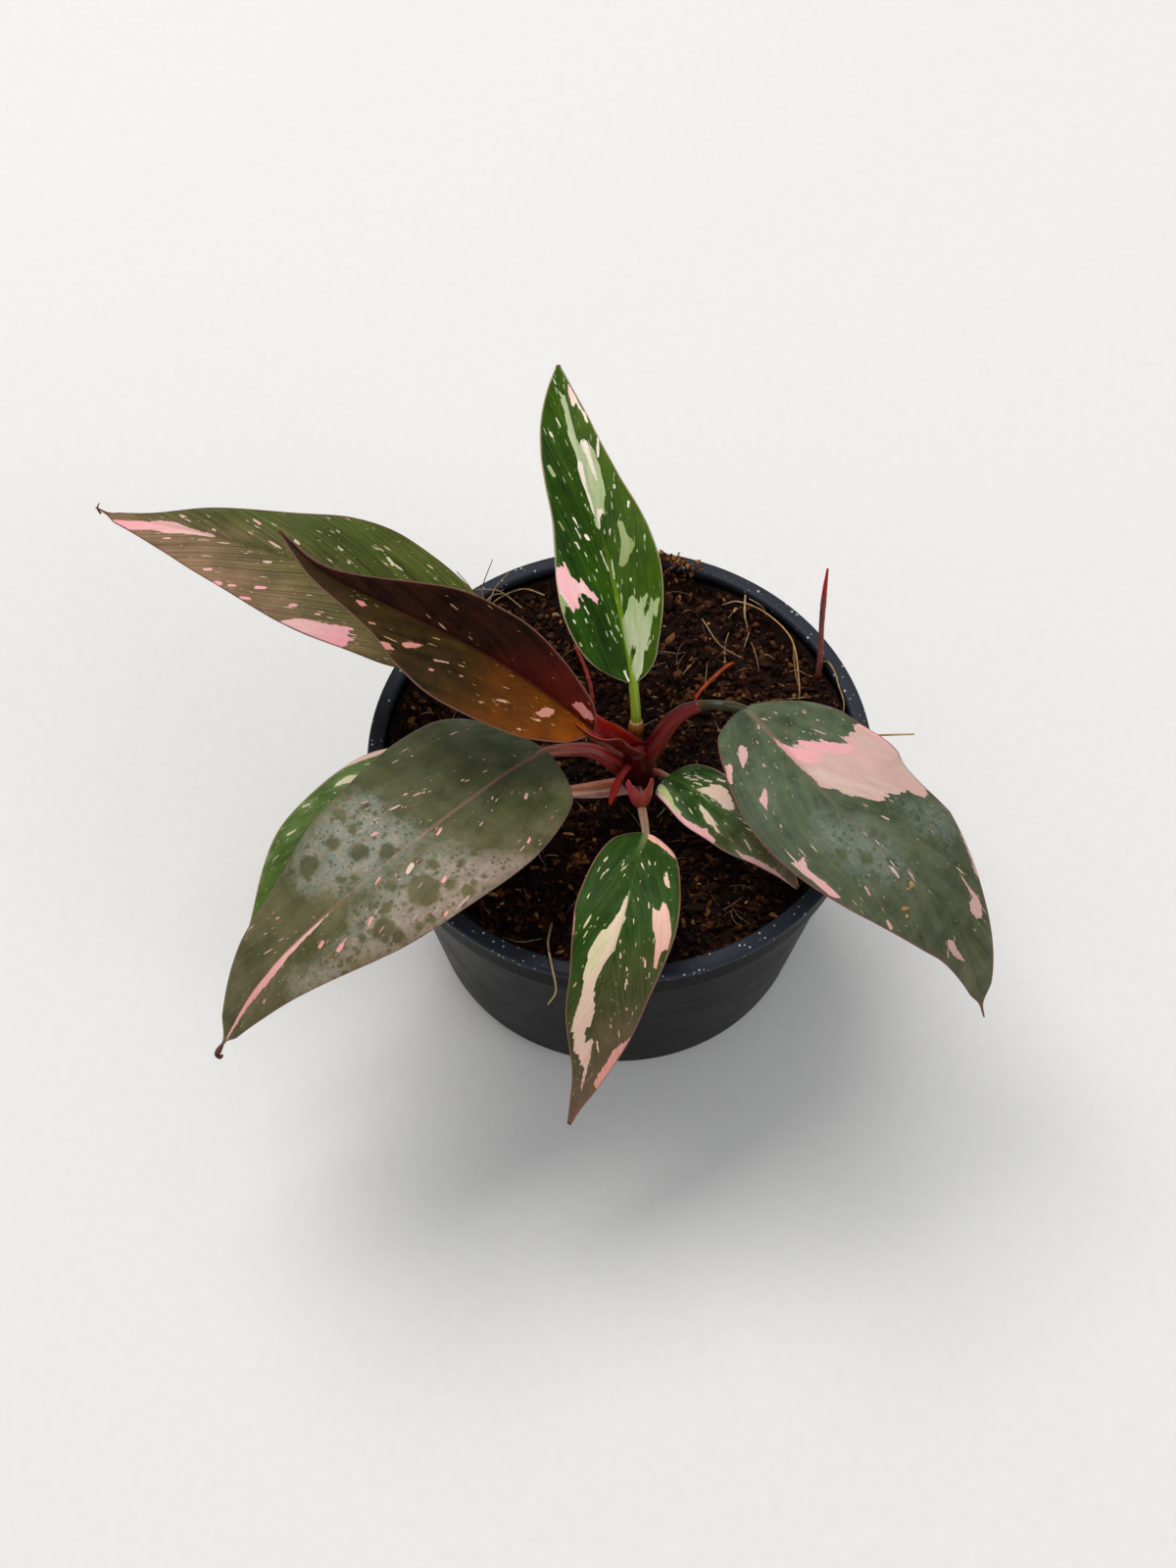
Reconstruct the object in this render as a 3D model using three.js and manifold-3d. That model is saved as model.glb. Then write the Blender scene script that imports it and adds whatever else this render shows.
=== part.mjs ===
// A young pink princess philodendron in its round plastic nursery pot.
// Millimetres, +Z up. The origin is the centre of the pot's flat underside.
import * as THREE from 'three';
import Module from 'manifold-3d';
import { mergeVertices } from 'three/addons/utils/BufferGeometryUtils.js';

const wasm = await Module();
wasm.setup();

// ---------------------------------------------------------------- driving dimensions

const GAP = 0.3; // between neighbouring solids
const UP = new THREE.Vector3(0, 0, 1);

const POT = {
  rimRadius: 65,
  height: 78,
  baseRadius: 52,
  wall: 1.6,
  floor: 2.2,
  lipWidth: 4,
  lipDrop: 2.6,
  collarRadius: 63.4,
  collarDepth: 12,
  bodyTopRadius: 61.8,
  sides: 48, // of the pot and, to lie parallel, of the soil
  holeRadius: 4,
  holeCircle: 38,
  holes: 6,
};

const SOIL = {
  top: 71, // mean height of the surface
  lump: 1.1, // height of the larger chips
  rings: 13,
};

const STEM = {
  x: 4,
  y: -9,
  // heights from its end in the soil up, with the radius there and its swollen leaf rings
  profile: [
    [48, 3.4], [62, 4.1], [72, 4.3], [75, 4.6], [77, 4.1],
    [82, 4.4], [84, 3.9], [88, 3.9], [91, 3.2], [93, 2.2],
  ],
  sides: 14,
};

const BLADE = {
  thickness: 0.7, // at the margin
  ribExtra: 0.8, // deeper under the midrib at the base
  rows: 22,
  columns: 4, // across each half
  crowding: 1.3, // rows crowd towards the base
  baseRound: 0.07, // share of the length in which the base rounds off
  tipWidth: 0.4,
};

// Each leaf: its midrib from the stalk to the tip, the half-widths left and right of the midrib
// at tenths of its length, how far each half folds up at the midrib (degrees, at base, middle
// and tip), how far it curves on from there to the margin, and the wave of its margin.
// The stalk runs from the stem to the blade, with its radii along the way.
const LEAVES = {
  leaf_back: {
    rib: [[3, 4, 104], [0, 18, 112], [-4, 35, 118], [-10, 59, 124], [-14, 76, 127], [-16, 86, 128]],
    left: [5, 12, 15, 15, 13.5, 12, 11.5, 10.5, 8.5, 5, 0.5],
    right: [5, 8, 11, 12.5, 12, 10.5, 8, 6, 4.5, 2.5, 0.5],
    fold: [[25, 18, 10], [25, 18, 10]],
    cup: [[-20, -10, 0], [-20, -10, 0]],
    wave: [0.5, 3.5, 0.4],
    stalk: [[3.5, -6, 87], [3.7, -3.5, 92], [3.6, -1.5, 98]],
    girth: [1.7, 1.8, 1.9, 2.3, 2.4, 2, 1.25, 1.2, 1.2, 1.2, 1.2, 1], // a knob at its foot
    color: 0x5a6b3a,
  },
  leaf_left_back: {
    rib: [
      [-33, 19, 100], [-50, 23, 108], [-75, 30, 116], [-101, 37, 120], [-118, 42, 119], [-131.5, 46.5, 117],
    ],
    left: [8, 15, 19, 20, 20, 18.5, 16, 12.5, 8, 4, 0.5],
    right: [7, 11, 14.5, 16.5, 15.5, 13, 10.5, 7.5, 4.5, 2, 0.5],
    fold: [[10, 8, 5], [20, 20, 20]],
    cup: [[-15, -10, 0], [-10, -10, 0]],
    wave: [0.6, 3, 1.2],
    stalk: [[1, -7, 84], [-8, 0, 87], [-20, 10, 93]],
    girth: [1.6, 1.5, 1.4, 1.3],
    color: 0x5a5433,
  },
  leaf_newest: {
    rib: [[-7, -10, 104], [-18, -5, 112], [-33, 0, 122], [-52, 5, 132], [-70, 10, 141], [-81, 20, 144]],
    left: [5, 13, 19, 22.5, 24, 23, 18, 11.5, 6, 2.5, 0.5],
    right: [4, 7, 10, 12, 12, 11.5, 9, 5.5, 2.5, 1, 0.5],
    fold: [[20, 20, 20], [50, 50, 40]],
    cup: [[0, 0, 0], [0, 0, 0]],
    wave: [0.4, 2.5, 2],
    stalk: [[3, -8.5, 92.5], [-2.3, -8.8, 98]],
    girth: [2.2, 2.4, 2.2, 1.8],
    flat: 1.5, // its halves stand up either side of a deep channel
    color: 0x6b3320,
  },
  leaf_left_front: {
    rib: [[-19, -12, 98], [-30, -24, 104], [-49, -44, 109], [-66, -58, 105], [-84, -69, 90], [-98, -78, 66]],
    left: [12, 18.5, 21.5, 22, 21, 19, 15.5, 12, 8, 4, 0.5],
    right: [14, 22.5, 25, 25, 23, 21, 18, 14, 10, 6, 0.5],
    fold: [[8, 6, 10], [8, 6, 10]],
    cup: [[-20, -20, -10], [-20, -20, -10]],
    wave: [0.7, 3, 0],
    stalk: [[0.5, -10.5, 86], [-3, -10.5, 91], [-9, -10, 95]],
    girth: [2, 2, 1.7, 1.5],
    color: 0x5d5d46,
  },
  leaf_left_under: {
    rib: [[-24, -17, 86], [-40, -19, 91], [-58, -24, 93], [-72, -31, 90], [-82, -40, 84], [-93, -54, 71]],
    left: [8, 12, 14, 14.5, 14, 13, 11, 8.5, 5.5, 2.5, 0.5],
    right: [8, 12.5, 14.5, 15, 15.5, 14, 11.5, 9, 6, 3, 0.5],
    fold: [[8, 6, 10], [8, 6, 10]],
    cup: [[-20, -20, -10], [-20, -20, -10]],
    wave: [0.5, 3, 2.2],
    stalk: [[0, -11, 79], [-8, -14, 82]],
    girth: [2.6, 2.4, 1.4],
    flat: 0.55,
    color: 0x566b40,
  },
  leaf_front: {
    rib: [[6, -31, 90], [3, -42, 94], [0, -57, 94], [-5, -70, 84], [-9, -83, 62], [-13, -89, 46]],
    left: [5, 10, 12, 13, 12.5, 11.5, 10, 7.5, 4.5, 2, 0.5],
    right: [5, 8.5, 11, 12, 10.5, 8.5, 7.5, 5.5, 3.5, 2, 0.5],
    fold: [[12, 8, 10], [12, 8, 10]],
    cup: [[-20, -15, 0], [-20, -15, 0]],
    wave: [0.6, 3.5, 0.8],
    stalk: [[4.3, -13.8, 82], [5, -21, 86]],
    girth: [1.35, 1.35, 1.3],
    color: 0x4c6338,
  },
  leaf_right_small: {
    rib: [[12, -10.5, 83.5], [18, -17, 88], [26, -27, 90], [36, -36, 88], [43, -43, 84]],
    left: [4, 6.5, 8, 8.5, 8.5, 8.5, 7.5, 6.5, 4.5, 2.5, 0.5],
    right: [6, 7.5, 8.5, 9, 9, 8, 7, 5.5, 4, 2, 0.5],
    fold: [[10, 8, 6], [10, 8, 6]],
    cup: [[-15, -15, 0], [-15, -15, 0]],
    wave: [0.4, 3, 0],
    stalk: [[6.5, -8, 79.5], [9, -8.5, 82]],
    girth: [1, 0.9, 0.9],
    color: 0x557050,
  },
  leaf_right: {
    rib: [[30, -6, 108], [37, -20, 114], [50, -39, 116], [67, -51, 109], [80, -60, 92], [88, -71, 70]],
    left: [10, 17, 20, 22, 21.5, 20, 17.5, 14, 9, 5, 0.5],
    right: [7, 13, 17, 19.5, 20, 18.5, 15.5, 12, 7, 3, 0.5],
    fold: [[8, 6, 8], [8, 6, 8]],
    cup: [[-20, -20, -10], [-20, -20, -10]],
    wave: [0.7, 3, 1.5],
    stalk: [[6, -9, 87], [8.5, -7.8, 94], [12.5, -5.5, 101.5], [18, -4.5, 106], [24, -6, 109]],
    girth: [2, 2.1, 2.1, 2.2, 2.2, 2, 1.2, 1.2, 1.2, 1.1], // thick red sheath first, then the bare stalk
    color: 0x6f6a5c,
  },
};

// Free roots: a shoot that stands up by the rim, and roots that lie on the soil or over the rim.
const ROOTS = {
  root_shoot: {
    path: [[50.5, 25.5, 66], [51, 26.5, 76], [52, 30.5, 88], [52, 33, 100], [52.5, 34, 111]],
    girth: [0.9, 0.9, 0.8, 0.9, 0.4],
    color: 0x7a4038,
  },
  root_right: {
    path: [[19, 18, 69], [20.5, 21, 72.4], [25.2, 26.2, 73.4], [29.2, 30.4, 72.8], [31.5, 33.5, 69]],
    girth: [0.6, 0.6, 0.6, 0.6, 0.4],
    color: 0xa0522f,
  },
  root_left: {
    path: [[-7, 18, 69], [-7.2, 21, 72.2], [-8.6, 27.5, 73.4], [-11, 35, 72.4], [-12.4, 40, 69]],
    girth: [0.5, 0.6, 0.6, 0.5, 0.4],
    color: 0x9a4a30,
  },
  root_back: {
    path: [[47.5, 20, 69], [47.2, 24, 72.4], [45, 35.5, 73.2], [38.5, 43.5, 73.4], [31.5, 47.5, 72.6], [28, 49, 69]],
    girth: [0.4, 0.5, 0.6, 0.6, 0.5, 0.4],
    color: 0xb89a72,
  },
  root_over_front: {
    path: [
      [-17, -44, 69], [-17.5, -48, 73], [-18, -56, 79.5],
      [-17, -62.5, 80.6], [-16, -67.5, 77.5], [-18, -69, 73],
    ],
    girth: [0.4, 0.5, 0.5, 0.5, 0.5, 0.35],
    color: 0xb8966c,
  },
  root_over_right: {
    path: [[51, 2.4, 69], [54.5, 2.6, 74], [60, 2.6, 79.5], [66, 3, 81], [75.3, 3.4, 81]],
    girth: [0.4, 0.5, 0.5, 0.45, 0.35],
    color: 0xb8966c,
  },
};

const SHEATHS = {
  // the cupped pink scale that widens from the front leaf's stalk up to the stem
  cup: {
    axis: [[5, -21.2, 86.2], [4.8, -19.4, 87.6], [4.6, -17.4, 89.4], [4.4, -15.5, 91.4]],
    inner: [1.5, 2.1, 2.7, 3.1],
    span: 125, // degrees to each side of its upper front
    cleft: 0.5, // share of its length, between its two lobes
    lobe: 0.42, // where a lobe is longest, as a share of the span
    heel: 0.4, // share of its length that the lobes lose towards their outer edges
    wall: 0.7,
    color: 0xc97f78,
  },
  // the small red scale that hangs left of it
  spike: {
    path: [[2.2, -11.6, 90.4], [0.3, -14, 90.2], [-1.5, -16.8, 88], [-2.9, -19.9, 84.8]],
    girth: [0.9, 1, 1, 0.4],
    flat: 0.6,
    color: 0x9c2a1c,
  },
};

const POT_COLOR = 0x26282b;
const SOIL_COLOR = 0x4a3024;

// ---------------------------------------------------------------- helpers

const vec = ([x, y, z]) => new THREE.Vector3(x, y, z);
const radians = THREE.MathUtils.degToRad;

/** A seeded random stream. */
function stream(seed) {
  let state = seed;
  return () => {
    state = (state * 1664525 + 1013904223) % 4294967296;
    return state / 4294967296;
  };
}

/** A smooth curve through the points. */
const curveThrough = (points) => new THREE.CatmullRomCurve3(points.map(vec), false, 'catmullrom');

/** A smooth function on 0..1 through evenly spaced values. */
function spline(values) {
  const last = values.length - 1;
  const curve = new THREE.CatmullRomCurve3(
    values.map((value, i) => new THREE.Vector3(i / last, value, 0)),
    false,
    'catmullrom',
  );
  return (u) => curve.getPoint(u).y;
}

/** The direction to the left of a run, level with the ground, and the one square to both. */
function frameAt(curve, u) {
  const along = curve.getTangentAt(u).normalize();
  const side = new THREE.Vector3().crossVectors(UP, along).normalize();
  const normal = new THREE.Vector3().crossVectors(along, side);
  return { point: curve.getPointAt(u), along, side, normal };
}

function geometryFrom(points, faces) {
  const geometry = new THREE.BufferGeometry();
  const numbers = points.flatMap((p) => [p.x, p.y, p.z]);
  geometry.setAttribute('position', new THREE.Float32BufferAttribute(numbers, 3));
  geometry.setIndex(faces.flat());
  return geometry;
}

/** A closed geometry as a manifold solid. */
function solid(geometry) {
  geometry.deleteAttribute('normal');
  geometry.deleteAttribute('uv');
  const merged = mergeVertices(geometry, 1e-4);
  return new wasm.Manifold(new wasm.Mesh({
    numProp: 3,
    vertProperties: new Float32Array(merged.attributes.position.array),
    triVerts: new Uint32Array(merged.index.array),
  }));
}

function meshOf(name, body, color, roughness = 0.5) {
  const { vertProperties, triVerts } = body.getMesh();
  const geometry = new THREE.BufferGeometry();
  geometry.setAttribute('position', new THREE.Float32BufferAttribute(vertProperties, 3));
  geometry.setIndex(new THREE.Uint32BufferAttribute(triVerts, 1));
  geometry.computeVertexNormals();
  const mesh = new THREE.Mesh(geometry, new THREE.MeshStandardMaterial({ color, roughness, metalness: 0 }));
  mesh.name = name;
  return mesh;
}

/** A closed skin over rings of points: each ring has the same count, and the ends are capped. */
function loft(rings) {
  const count = rings[0].length;
  const points = rings.flat();
  const faces = [];
  for (let i = 0; i + 1 < rings.length; i += 1) {
    for (let k = 0; k < count; k += 1) {
      const next = (k + 1) % count;
      const [a, b] = [i * count + k, i * count + next];
      const [c, d] = [a + count, b + count];
      faces.push([a, b, d], [a, d, c]);
    }
  }
  const last = (rings.length - 1) * count;
  for (let k = 1; k + 1 < count; k += 1) {
    faces.push([0, k + 1, k], [last, last + k, last + k + 1]);
  }
  return geometryFrom(points, faces);
}

/** A tapering stalk or root along a path; flat is its depth over its width. */
function stalk(path, girth, { flat = 1, sides = 8, step = 2.5, swell = 0 } = {}) {
  const curve = curveThrough(path);
  const radius = spline(girth);
  const count = Math.max(4, Math.round(curve.getLength() / step));
  const rings = [];
  for (let i = 0; i <= count; i += 1) {
    const { point, side, normal } = frameAt(curve, i / count);
    const r = radius(i / count) + swell;
    const ring = [];
    for (let k = 0; k < sides; k += 1) {
      const angle = (2 * Math.PI * (k + 0.5)) / sides;
      ring.push(point.clone()
        .addScaledVector(side, -r * Math.cos(angle))
        .addScaledVector(normal, -(r * flat + swell * (1 - flat)) * Math.sin(angle)));
    }
    rings.push(ring);
  }
  return solid(loft(rings));
}

/** A solid of revolution about Z; the profile closes on itself or on the axis. */
function turned(profile, sides) {
  const geometry = new THREE.LatheGeometry(profile.map(([r, z]) => new THREE.Vector2(r, z)), sides);
  geometry.rotateX(Math.PI / 2);
  return solid(geometry);
}

// ---------------------------------------------------------------- pot and soil

/** The radius of the pot's outside wall below its collar. */
function potRadius(z) {
  const top = POT.height - POT.collarDepth;
  return THREE.MathUtils.mapLinear(z, 0, top, POT.baseRadius, POT.bodyTopRadius);
}

function pot() {
  const { height: h, rimRadius: rim, wall, floor, collarRadius: collar } = POT;
  const inner = rim - POT.lipWidth;
  const collarFoot = h - POT.collarDepth;
  const outside = [
    [0, 0], [POT.baseRadius - 1, 0], [POT.baseRadius, 1],
    [POT.bodyTopRadius, collarFoot - 0.6], [collar, collarFoot],
    [collar, h - POT.lipDrop], [rim - 0.4, h - POT.lipDrop], [rim, h - 2], [rim, h - 0.8], [rim - 0.8, h],
  ];
  const inside = [
    [inner + 0.6, h], [inner, h - 0.8], [inner, collarFoot],
    [potRadius(collarFoot) - wall, collarFoot - 2], [POT.baseRadius - wall, floor + 1],
    [POT.baseRadius - wall - 1, floor], [0, floor],
  ];
  let body = turned([...outside, ...inside], POT.sides);
  for (let i = 0; i < POT.holes; i += 1) {
    const angle = (2 * Math.PI * i) / POT.holes;
    const hole = new THREE.CylinderGeometry(POT.holeRadius, POT.holeRadius, 20, 16);
    hole.rotateX(Math.PI / 2);
    hole.translate(POT.holeCircle * Math.cos(angle), POT.holeCircle * Math.sin(angle), 0);
    body = body.subtract(solid(hole));
  }
  return body;
}

/** The soil fills the pot; its top is a field of chips of many heights. */
function soil() {
  const random = stream(41);
  const collarFoot = POT.height - POT.collarDepth;
  const wallAt = (z) => (z > collarFoot - 2 ? POT.rimRadius - POT.lipWidth : potRadius(z) - POT.wall) - GAP;
  const bottom = POT.floor + GAP;
  const points = [new THREE.Vector3(0, 0, bottom)];
  const faces = [];
  const ring = (radius, heightAt) => {
    const first = points.length;
    for (let k = 0; k < POT.sides; k += 1) {
      const angle = (2 * Math.PI * k) / POT.sides;
      points.push(new THREE.Vector3(radius * Math.cos(angle), radius * Math.sin(angle), heightAt()));
    }
    return first;
  };
  const edge = wallAt(SOIL.top);
  const levels = [
    ring(POT.baseRadius - POT.wall - 1.6, () => bottom),
    ring(wallAt(bottom + 3) - 0.4, () => bottom + 3),
    ring(wallAt(collarFoot - 2.1) - 0.4, () => collarFoot - 2.1),
    ring(edge, () => collarFoot + 0.8),
    ring(edge, () => SOIL.top - 0.6 + 0.5 * random()),
  ];
  for (let i = SOIL.rings - 1; i > 0; i -= 1) {
    levels.push(ring((edge * i) / SOIL.rings, () => SOIL.top + SOIL.lump * (2 * random() - 1)));
  }
  const crown = points.push(new THREE.Vector3(0, 0, SOIL.top)) - 1;
  for (let k = 0; k < POT.sides; k += 1) {
    const next = (k + 1) % POT.sides;
    faces.push([0, levels[0] + next, levels[0] + k]);
    for (let i = 0; i + 1 < levels.length; i += 1) {
      const [a, b, c, d] = [levels[i] + k, levels[i] + next, levels[i + 1] + k, levels[i + 1] + next];
      faces.push([a, b, d], [a, d, c]);
    }
    faces.push([levels.at(-1) + k, levels.at(-1) + next, crown]);
  }
  return solid(geometryFrom(points, faces));
}

// ---------------------------------------------------------------- stem, leaves, scales, roots

function stem(swell = 0) {
  const { profile, sides } = STEM;
  const [footZ] = profile[0];
  const topZ = profile.at(-1)[0];
  const outline = profile.map(([z, r]) => [r + swell, z]);
  const geometry = new THREE.LatheGeometry(
    [[0, footZ - swell], [profile[0][1] + swell, footZ - swell], ...outline,
      [profile.at(-1)[1] + swell, topZ + swell], [0, topZ + swell]].map(([r, z]) => new THREE.Vector2(r, z)),
    sides,
  );
  geometry.rotateX(Math.PI / 2);
  geometry.translate(STEM.x, STEM.y, 0);
  return solid(geometry);
}

/** The blade's middle surface: rows of points from the left margin over the midrib to the right. */
function bladeRows(leaf) {
  const curve = curveThrough(leaf.rib);
  const halves = [
    { sign: 1, width: spline(leaf.left), fold: spline(leaf.fold[0]), cup: spline(leaf.cup[0]) },
    { sign: -1, width: spline(leaf.right), fold: spline(leaf.fold[1]), cup: spline(leaf.cup[1]) },
  ];
  const [waveHeight, waveCount, wavePhase] = leaf.wave;
  const fine = 4; // steps of the curved half within one column
  const rows = [];
  for (let i = 0; i <= BLADE.rows; i += 1) {
    const u = (i / BLADE.rows) ** BLADE.crowding;
    const { point, side, normal } = frameAt(curve, u);
    const closing = Math.sqrt(1 - (1 - Math.min(u / BLADE.baseRound, 1)) ** 2);
    const row = [point.clone()];
    for (const { sign, width, fold, cup } of halves) {
      const reach = Math.max(width(u) * closing, BLADE.tipWidth);
      const at = point.clone();
      const steps = BLADE.columns * fine;
      for (let j = 1; j <= steps; j += 1) {
        const angle = radians(fold(u) + (cup(u) * (j - 0.5)) / steps);
        at.addScaledVector(side, (sign * reach * Math.cos(angle)) / steps)
          .addScaledVector(normal, (reach * Math.sin(angle)) / steps);
        if (j % fine === 0) {
          const out = j / steps;
          const wave = waveHeight * out * out * Math.sin(Math.PI * u)
            * Math.sin(2 * Math.PI * waveCount * u + wavePhase + sign);
          const spot = at.clone().addScaledVector(normal, wave);
          if (sign > 0) row.unshift(spot);
          else row.push(spot);
        }
      }
    }
    rows.push(row);
  }
  return rows;
}

/** The normals of the middle surface, from its neighbours in the grid. */
function gridNormals(rows) {
  const clampTo = (value, list) => list[Math.min(Math.max(value, 0), list.length - 1)];
  return rows.map((row, i) => row.map((_, k) => {
    const across = clampTo(k - 1, row).clone().sub(clampTo(k + 1, row));
    const along = clampTo(i + 1, rows)[k].clone().sub(clampTo(i - 1, rows)[k]);
    return new THREE.Vector3().crossVectors(along, across).normalize();
  }));
}

/** The blade as a closed solid: thin at the margin, deeper under the midrib. */
function blade(leaf) {
  const rows = bladeRows(leaf);
  const normals = gridNormals(rows);
  const width = rows[0].length;
  const points = [];
  for (const under of [false, true]) {
    rows.forEach((row, i) => row.forEach((spot, k) => {
      const out = Math.abs(k - BLADE.columns) / BLADE.columns;
      const rib = BLADE.ribExtra * (1 - out) ** 4 * (1 - i / BLADE.rows);
      const offset = under ? -BLADE.thickness / 2 - rib : BLADE.thickness / 2;
      points.push(spot.clone().addScaledVector(normals[i][k], offset));
    }));
  }
  const half = rows.length * width;
  const faces = [];
  for (let i = 0; i + 1 < rows.length; i += 1) {
    for (let k = 0; k + 1 < width; k += 1) {
      const [a, b] = [i * width + k, i * width + k + 1];
      const [c, d] = [a + width, b + width];
      faces.push([a, b, d], [a, d, c]); // upper face
      faces.push([half + a, half + d, half + b], [half + a, half + c, half + d]);
    }
  }
  const margin = [];
  for (let k = 0; k < width; k += 1) margin.push(k);
  for (let i = 1; i < rows.length; i += 1) margin.push(i * width + width - 1);
  for (let k = width - 2; k >= 0; k -= 1) margin.push((rows.length - 1) * width + k);
  for (let i = rows.length - 2; i > 0; i -= 1) margin.push(i * width);
  margin.forEach((a, n) => {
    const b = margin[(n + 1) % margin.length];
    faces.push([a, half + a, half + b], [a, half + b, b]);
  });
  return solid(geometryFrom(points, faces));
}

/** A leaf's stalk, from the stem to a little way on under the midrib, where it thins out. */
function leafStalk(leaf, swell = 0) {
  const { point, normal } = frameAt(curveThrough(leaf.rib), 0.05);
  const seat = point.addScaledVector(normal, -0.8);
  const [x, y, z] = leaf.rib[0];
  const path = [...leaf.stalk, [x, y, z - 0.6], seat.toArray()];
  return stalk(path, [...leaf.girth, 0.7], { flat: leaf.flat, swell });
}

/** The cupped scale: half a cone, open towards the stem, with a cleft between its two lobes. */
function cupScale() {
  const { axis, inner, span, cleft, lobe, heel, wall } = SHEATHS.cup;
  const centre = curveThrough(axis);
  const radius = spline(inner);
  const levels = 8;
  const steps = 14;
  const rings = [];
  for (let k = 0; k <= steps; k += 1) {
    const turn = (2 * k) / steps - 1;
    const angle = radians(span * turn);
    const out = Math.abs(turn);
    const reach = 1 - cleft * Math.max(0, 1 - out / lobe) - heel * Math.max(0, (out - lobe) / (1 - lobe));
    const ring = [];
    for (const shell of [0, wall]) {
      for (let i = 0; i <= levels; i += 1) {
        const share = (reach * (shell ? levels - i : i)) / levels;
        const { point, side, normal } = frameAt(centre, share);
        const r = radius(share) + shell;
        point.addScaledVector(normal, r * Math.cos(angle)).addScaledVector(side, -r * Math.sin(angle));
        ring.push(point);
      }
    }
    rings.push(ring);
  }
  return solid(loft(rings));
}

// ---------------------------------------------------------------- the plant put together

const group = new THREE.Group();

const stemSeat = stem(GAP);
const rootBodies = Object.entries(ROOTS).map(([name, { path, girth, color }]) => ({
  name,
  color,
  body: stalk(path, girth, { sides: 6, step: 2.2 }),
  seat: stalk(path, girth, { sides: 6, step: 2.2, swell: GAP + 0.1 }),
}));

let ground = soil().subtract(stemSeat);
for (const { seat } of rootBodies) ground = ground.subtract(seat);

group.add(meshOf('pot', pot(), POT_COLOR, 0.45));
group.add(meshOf('soil', ground, SOIL_COLOR, 0.95));
group.add(meshOf('stem', stem(), 0x6e2a20));

for (const [name, leaf] of Object.entries(LEAVES)) {
  const body = blade(leaf).add(leafStalk(leaf)).subtract(stemSeat);
  group.add(meshOf(name, body, leaf.color));
}

const frontStalkSeat = leafStalk(LEAVES.leaf_front, GAP);
group.add(meshOf('scale_cup', cupScale().subtract(stemSeat).subtract(frontStalkSeat), SHEATHS.cup.color));
const { path: spikePath, girth: spikeGirth, flat: spikeFlat } = SHEATHS.spike;
const spike = stalk(spikePath, spikeGirth, { flat: spikeFlat, sides: 6, step: 2 });
group.add(meshOf('scale_spike', spike.subtract(stemSeat), SHEATHS.spike.color));

for (const { name, body, color } of rootBodies) group.add(meshOf(name, body, color, 0.7));

export default group;
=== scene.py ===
# A young pink princess philodendron in a black plastic nursery pot, dressed around its solids.
import math
import random
from functools import partial

import bmesh
import bpy
import numpy as np
from mathutils import Matrix, Vector, noise


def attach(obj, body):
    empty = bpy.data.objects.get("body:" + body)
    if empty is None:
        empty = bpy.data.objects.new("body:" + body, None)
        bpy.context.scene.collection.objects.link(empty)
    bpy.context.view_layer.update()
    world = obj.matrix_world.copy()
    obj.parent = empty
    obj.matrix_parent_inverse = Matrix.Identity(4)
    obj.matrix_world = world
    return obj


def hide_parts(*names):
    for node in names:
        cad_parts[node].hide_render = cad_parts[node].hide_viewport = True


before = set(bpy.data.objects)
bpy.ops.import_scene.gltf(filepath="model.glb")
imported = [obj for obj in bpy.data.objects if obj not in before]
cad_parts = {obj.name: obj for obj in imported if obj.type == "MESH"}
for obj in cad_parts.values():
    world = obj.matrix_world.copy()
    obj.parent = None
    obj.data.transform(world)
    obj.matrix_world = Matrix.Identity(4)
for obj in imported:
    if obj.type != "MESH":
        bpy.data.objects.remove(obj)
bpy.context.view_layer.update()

MM = 0.001  # the plant is measured in millimetres, and Blender works in metres
BODY = "root"

# ---------------------------------------------------------------- colours, nodes and meshes


def linear(code):
    """An sRGB hex colour as linear RGBA."""
    parts = [int(code[i:i + 2], 16) / 255 for i in (1, 3, 5)]
    return *(c / 12.92 if c <= 0.04045 else ((c + 0.055) / 1.055) ** 2.4 for c in parts), 1.0


def add_node(tree, kind, *values, out=None, stops=None, into=None, **settings):
    """Adds a node with its settings and returns one output, the first if out names none. Values fill
    its live inputs in order, into fills them by name, and stops fill a colour ramp."""
    made = tree.nodes.new("ShaderNode" + kind)
    for name, value in settings.items():
        setattr(made, name, value)
    live = [socket for socket in made.inputs if socket.enabled]
    named = [(next(s for s in live if s.name == name), value) for name, value in (into or {}).items()]
    for socket, value in [*zip(live, values), *named]:
        if isinstance(value, bpy.types.NodeSocket):
            tree.links.new(value, socket)
        else:
            socket.default_value = linear(value) if isinstance(value, str) else value
    if stops:
        ramp = made.color_ramp
        while len(ramp.elements) < len(stops):
            ramp.elements.new(0.5)
        for element, (place, code) in zip(ramp.elements, stops):
            element.position = place
            element.color = linear(code)
    live = [socket for socket in made.outputs if socket.enabled]
    return made.outputs[out] if out else live[0] if live else None


def new_material(name):
    """An empty node material, and what adds nodes to its tree."""
    material = bpy.data.materials.new(name)
    material.use_nodes = True
    material.node_tree.nodes.clear()
    return material, partial(add_node, material.node_tree)


def finish_material(add, color, roughness, height=None, depth_mm=0.1, **sockets):
    """Closes a tree with its shader; height, if given, is raised by depth_mm."""
    inputs = {"Base Color": color, "Roughness": roughness}
    inputs.update({name.replace("_", " "): value for name, value in sockets.items()})
    if height is not None:
        inputs["Normal"] = add("Bump", into={"Height": height, "Strength": 1.0, "Distance": depth_mm * MM})
    shader = add("BsdfPrincipled", into=inputs)
    add("OutputMaterial", into={"Surface": shader})


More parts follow.
